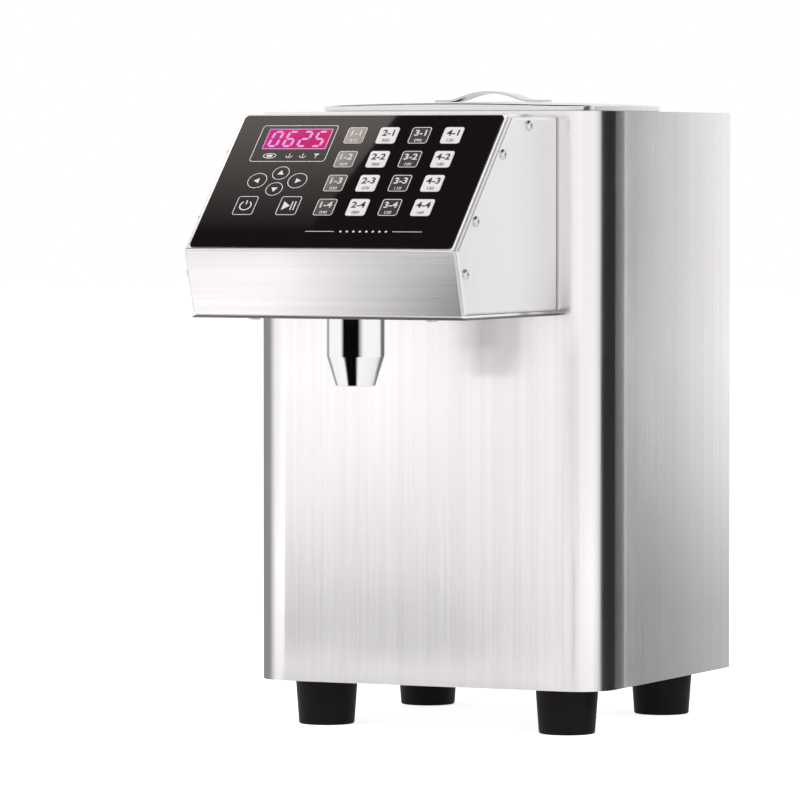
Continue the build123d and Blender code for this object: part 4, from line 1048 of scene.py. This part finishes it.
def make_front_cards():
    """What the column's front mirrors: light shade at one side, and floor that is shaded close by
    and glows far off.
    """
    left, right, front = -0.40, -0.255, -0.90
    side = wall((left, front), (right, front), 0.0, CARD_TOP)
    reflection_card("front_card", [side], SHADE, 0.18, [(RIGHTWARD, -0.385, -0.262)])
    foot = front_strip((-0.22, 0.14, 0.6), (-0.22, 0.2, 6), 0.004)
    reflection_card("front_foot_card", [foot], SHADE, 0.5, [(-MIRRORED_LENS, -6.0, -1.2)])
    glow = front_strip((-1.0, 0.12, 1.3), (-3.0, 0.3, 12), 0.002)
    reflection_card("front_glow_card", [glow], grey(1.3), 1.0, [(MIRRORED_LENS, 1.3, 4.5)])
    toe = front_strip((-0.16, 0.12, 0.08), (-0.18, 0.13, 0.42), 0.002)
    reflection_card("front_toe_card", [toe], SHADE, 0.45)


def make_head_cards():
    """What the head's front mirrors: a bright panel with shade towards the right over it."""
    left, right, front, back, height = -0.27, 0.11, -0.53, -0.288, 0.218
    plan = [(left, front), (right, front), (right, back), (left, back)]
    reach = (0.0, 0.27)
    glow = level_panel(plan, height)
    reflection_card("head_glow_card", [glow], grey(1.15), reach=reach)
    shade = level_panel(plan, height + 2 * MM)
    reflection_card("head_card", [shade], grey(0.12), 1.0, [(RIGHTWARD, -0.13, 0.058)], reach)


def make_keypad_card():
    """What the keypad mirrors: a warm panel overhead that ends aslant."""
    left, back, front, height = -0.66, -0.06, -0.232, 1.2
    slanted_edge = [(-0.2775, -0.062), (-0.422, front)]
    panel = level_panel([(left, back), *slanted_edge, (left, front)], height)
    reflection_card("keypad_card", [panel], (1.3, 1.18, 1.1), 1.0, [(BACKWARD, -0.225, -0.13)])


def nozzle_wall(start, end, low, high):
    """Panels about the nozzle's axis, between two azimuths and two heights."""
    return round_wall(NOZZLE_AXIS, NOZZLE_CARD_RADIUS, start, end, low, high)


def make_nozzle_cards():
    """What the nozzle mirrors: one dark stripe, in the level rays off its upper part and in the
    falling ones off its taper, a grey one down its left edge, and a dark one that the column
    shows behind its right edge.
    """
    low, high = HEAD_BOTTOM - 0.052, HEAD_BOTTOM + 0.001
    black = grey(0.002)
    fades = [(RIGHTWARD, -0.185, -0.1075), (LEFTWARD, -0.249, -0.168)]
    upper = nozzle_wall(-38, 56, low, high)
    reflection_card("nozzle_upper_card", upper, black, 1.0, fades, (0.26, 0.31))
    fades = [(RIGHTWARD, -0.145, -0.085), (LEFTWARD, -0.19, -0.13)]
    lower = nozzle_wall(-29, 40, 0.02, 0.105)
    reflection_card("nozzle_lower_card", lower, black, 1.0, fades, (0.33, 0.38))
    edge = nozzle_wall(-128, -100, low - 0.1, high)
    reflection_card("nozzle_edge_card", edge, grey(0.4), reach=(0.28, 0.31))
    behind = nozzle_wall(-2, 68, low - 0.15, high)
    reflection_card("nozzle_behind_card", behind, grey(0.15), reach=(0.285, 0.42), second=True)


def area_light(name, place, target, size, power, glossy=False):
    """A soft square lamp aimed at a point."""
    data = bpy.data.lights.new(name, "AREA")
    data.shape = "SQUARE"
    data.size = size
    data.energy = power
    lamp = bpy.data.objects.new(name, data)
    scene.collection.objects.link(lamp)
    lamp.location = place
    lamp.rotation_euler = (Vector(target) - Vector(place)).to_track_quat("-Z", "Y").to_euler()
    lamp.visible_glossy = glossy
    return lamp


def light_only(lamp, *nodes):
    """Keep a lamp to some CAD nodes."""
    lit = bpy.data.collections.new(f"{lamp.name}_lit")
    for node in nodes:
        lit.objects.link(frame["nodes"][node])
    lamp.light_linking.receiver_collection = lit


def make_lamps():
    """Soft key from the front left, weaker fill from the right, and a panel for the head's slope.

    The key and the fill aren't seen in reflections.
    """
    middle = (0, 0, 0.25)
    area_light("key_lamp", place=(-1.4, -1.8, 1.9), target=middle, size=1.6, power=26)
    area_light("fill_lamp", place=(1.8, -1.2, 1.2), target=middle, size=1.4, power=12)
    above, over = (-0.05, -0.2, 1.1), (-0.05, -0.2, 0.4)
    slope_lamp = area_light("slope_lamp", above, over, size=0.9, power=2.5, glossy=True)
    light_only(slope_lamp, "head_shell", "head_cheek_left", "head_cheek_right")


def make_world():
    """White surroundings for the lens and for level reflections, darker overhead, even soft light."""
    world = bpy.data.worlds.new("studio")
    scene.world = world
    world.use_nodes = True
    graph = Graph(world.node_tree)
    background = graph.nodes["Background"]
    background.inputs["Color"].default_value = (1.0, 1.0, 1.0, 1.0)
    direction = graph.node("TexCoord").outputs["Generated"]
    height = graph.node("SeparateXYZ", {0: direction}).outputs["Z"]
    smooth = {"interpolation_type": "SMOOTHSTEP"}
    level = graph.remap(height, 1.0, CEILING_LEVEL, *CEILING_HEIGHTS, **smooth)
    path = graph.node("LightPath").outputs
    mirrored = graph.in_metal(path)
    shown = graph.maths("MULTIPLY", mirrored, level)
    shown = graph.maths("MULTIPLY", shown, graph.by_mirrors(path))
    soft = graph.maths("MULTIPLY", graph.maths("SUBTRACT", 1.0, mirrored), SOFT_LEVEL)
    off_lens = graph.maths("ADD", shown, soft)
    strength = graph.maths("MAXIMUM", path["Is Camera Ray"], off_lens)
    graph.links.new(strength, background.inputs["Strength"])


def make_camera():
    """A long lens at the height of the head, turned towards the machine's right front edge."""
    data = bpy.data.cameras.new("camera")
    data.lens = CAMERA_LENS
    data.sensor_width = CAMERA_SENSOR
    data.clip_end = 100.0
    camera = bpy.data.objects.new("camera", data)
    scene.collection.objects.link(camera)
    azimuth, elevation = radians(CAMERA_AZIMUTH), radians(CAMERA_ELEVATION)
    back = Vector((sin(azimuth) * cos(elevation), -cos(azimuth) * cos(elevation), sin(elevation)))
    camera.location = CAMERA_TARGET + back * CAMERA_DISTANCE
    camera.rotation_euler = (-back).to_track_quat("-Z", "Y").to_euler()
    scene.camera = camera


# ---------------------------------------------------------------- the scene

scene.view_settings.view_transform = "Standard"
paint_nodes()
# The hem's dark finish is painted shade, the shadow line under the head.
make_hem_shade_strip(hem_painted_shade())
white_ink = ink("white_ink", (0.74, 0.71, 0.72), (0.86, 0.84, 0.85))
dark_ink = ink("dark_ink", (0.020, 0.015, 0.018), (0.045, 0.038, 0.042))
print_portion_keys(white_ink, dark_ink)
print_round_keys(white_ink)
print_square_keys(white_ink)
print_figures(digit_glow())
print_display_frame(white_ink)
print_rules(white_ink)
make_floor()
make_right_corner_cards()
make_left_corner_card()
make_side_cards()
make_front_cards()
make_head_cards()
make_keypad_card()
make_nozzle_cards()
make_lamps()
make_world()
make_camera()
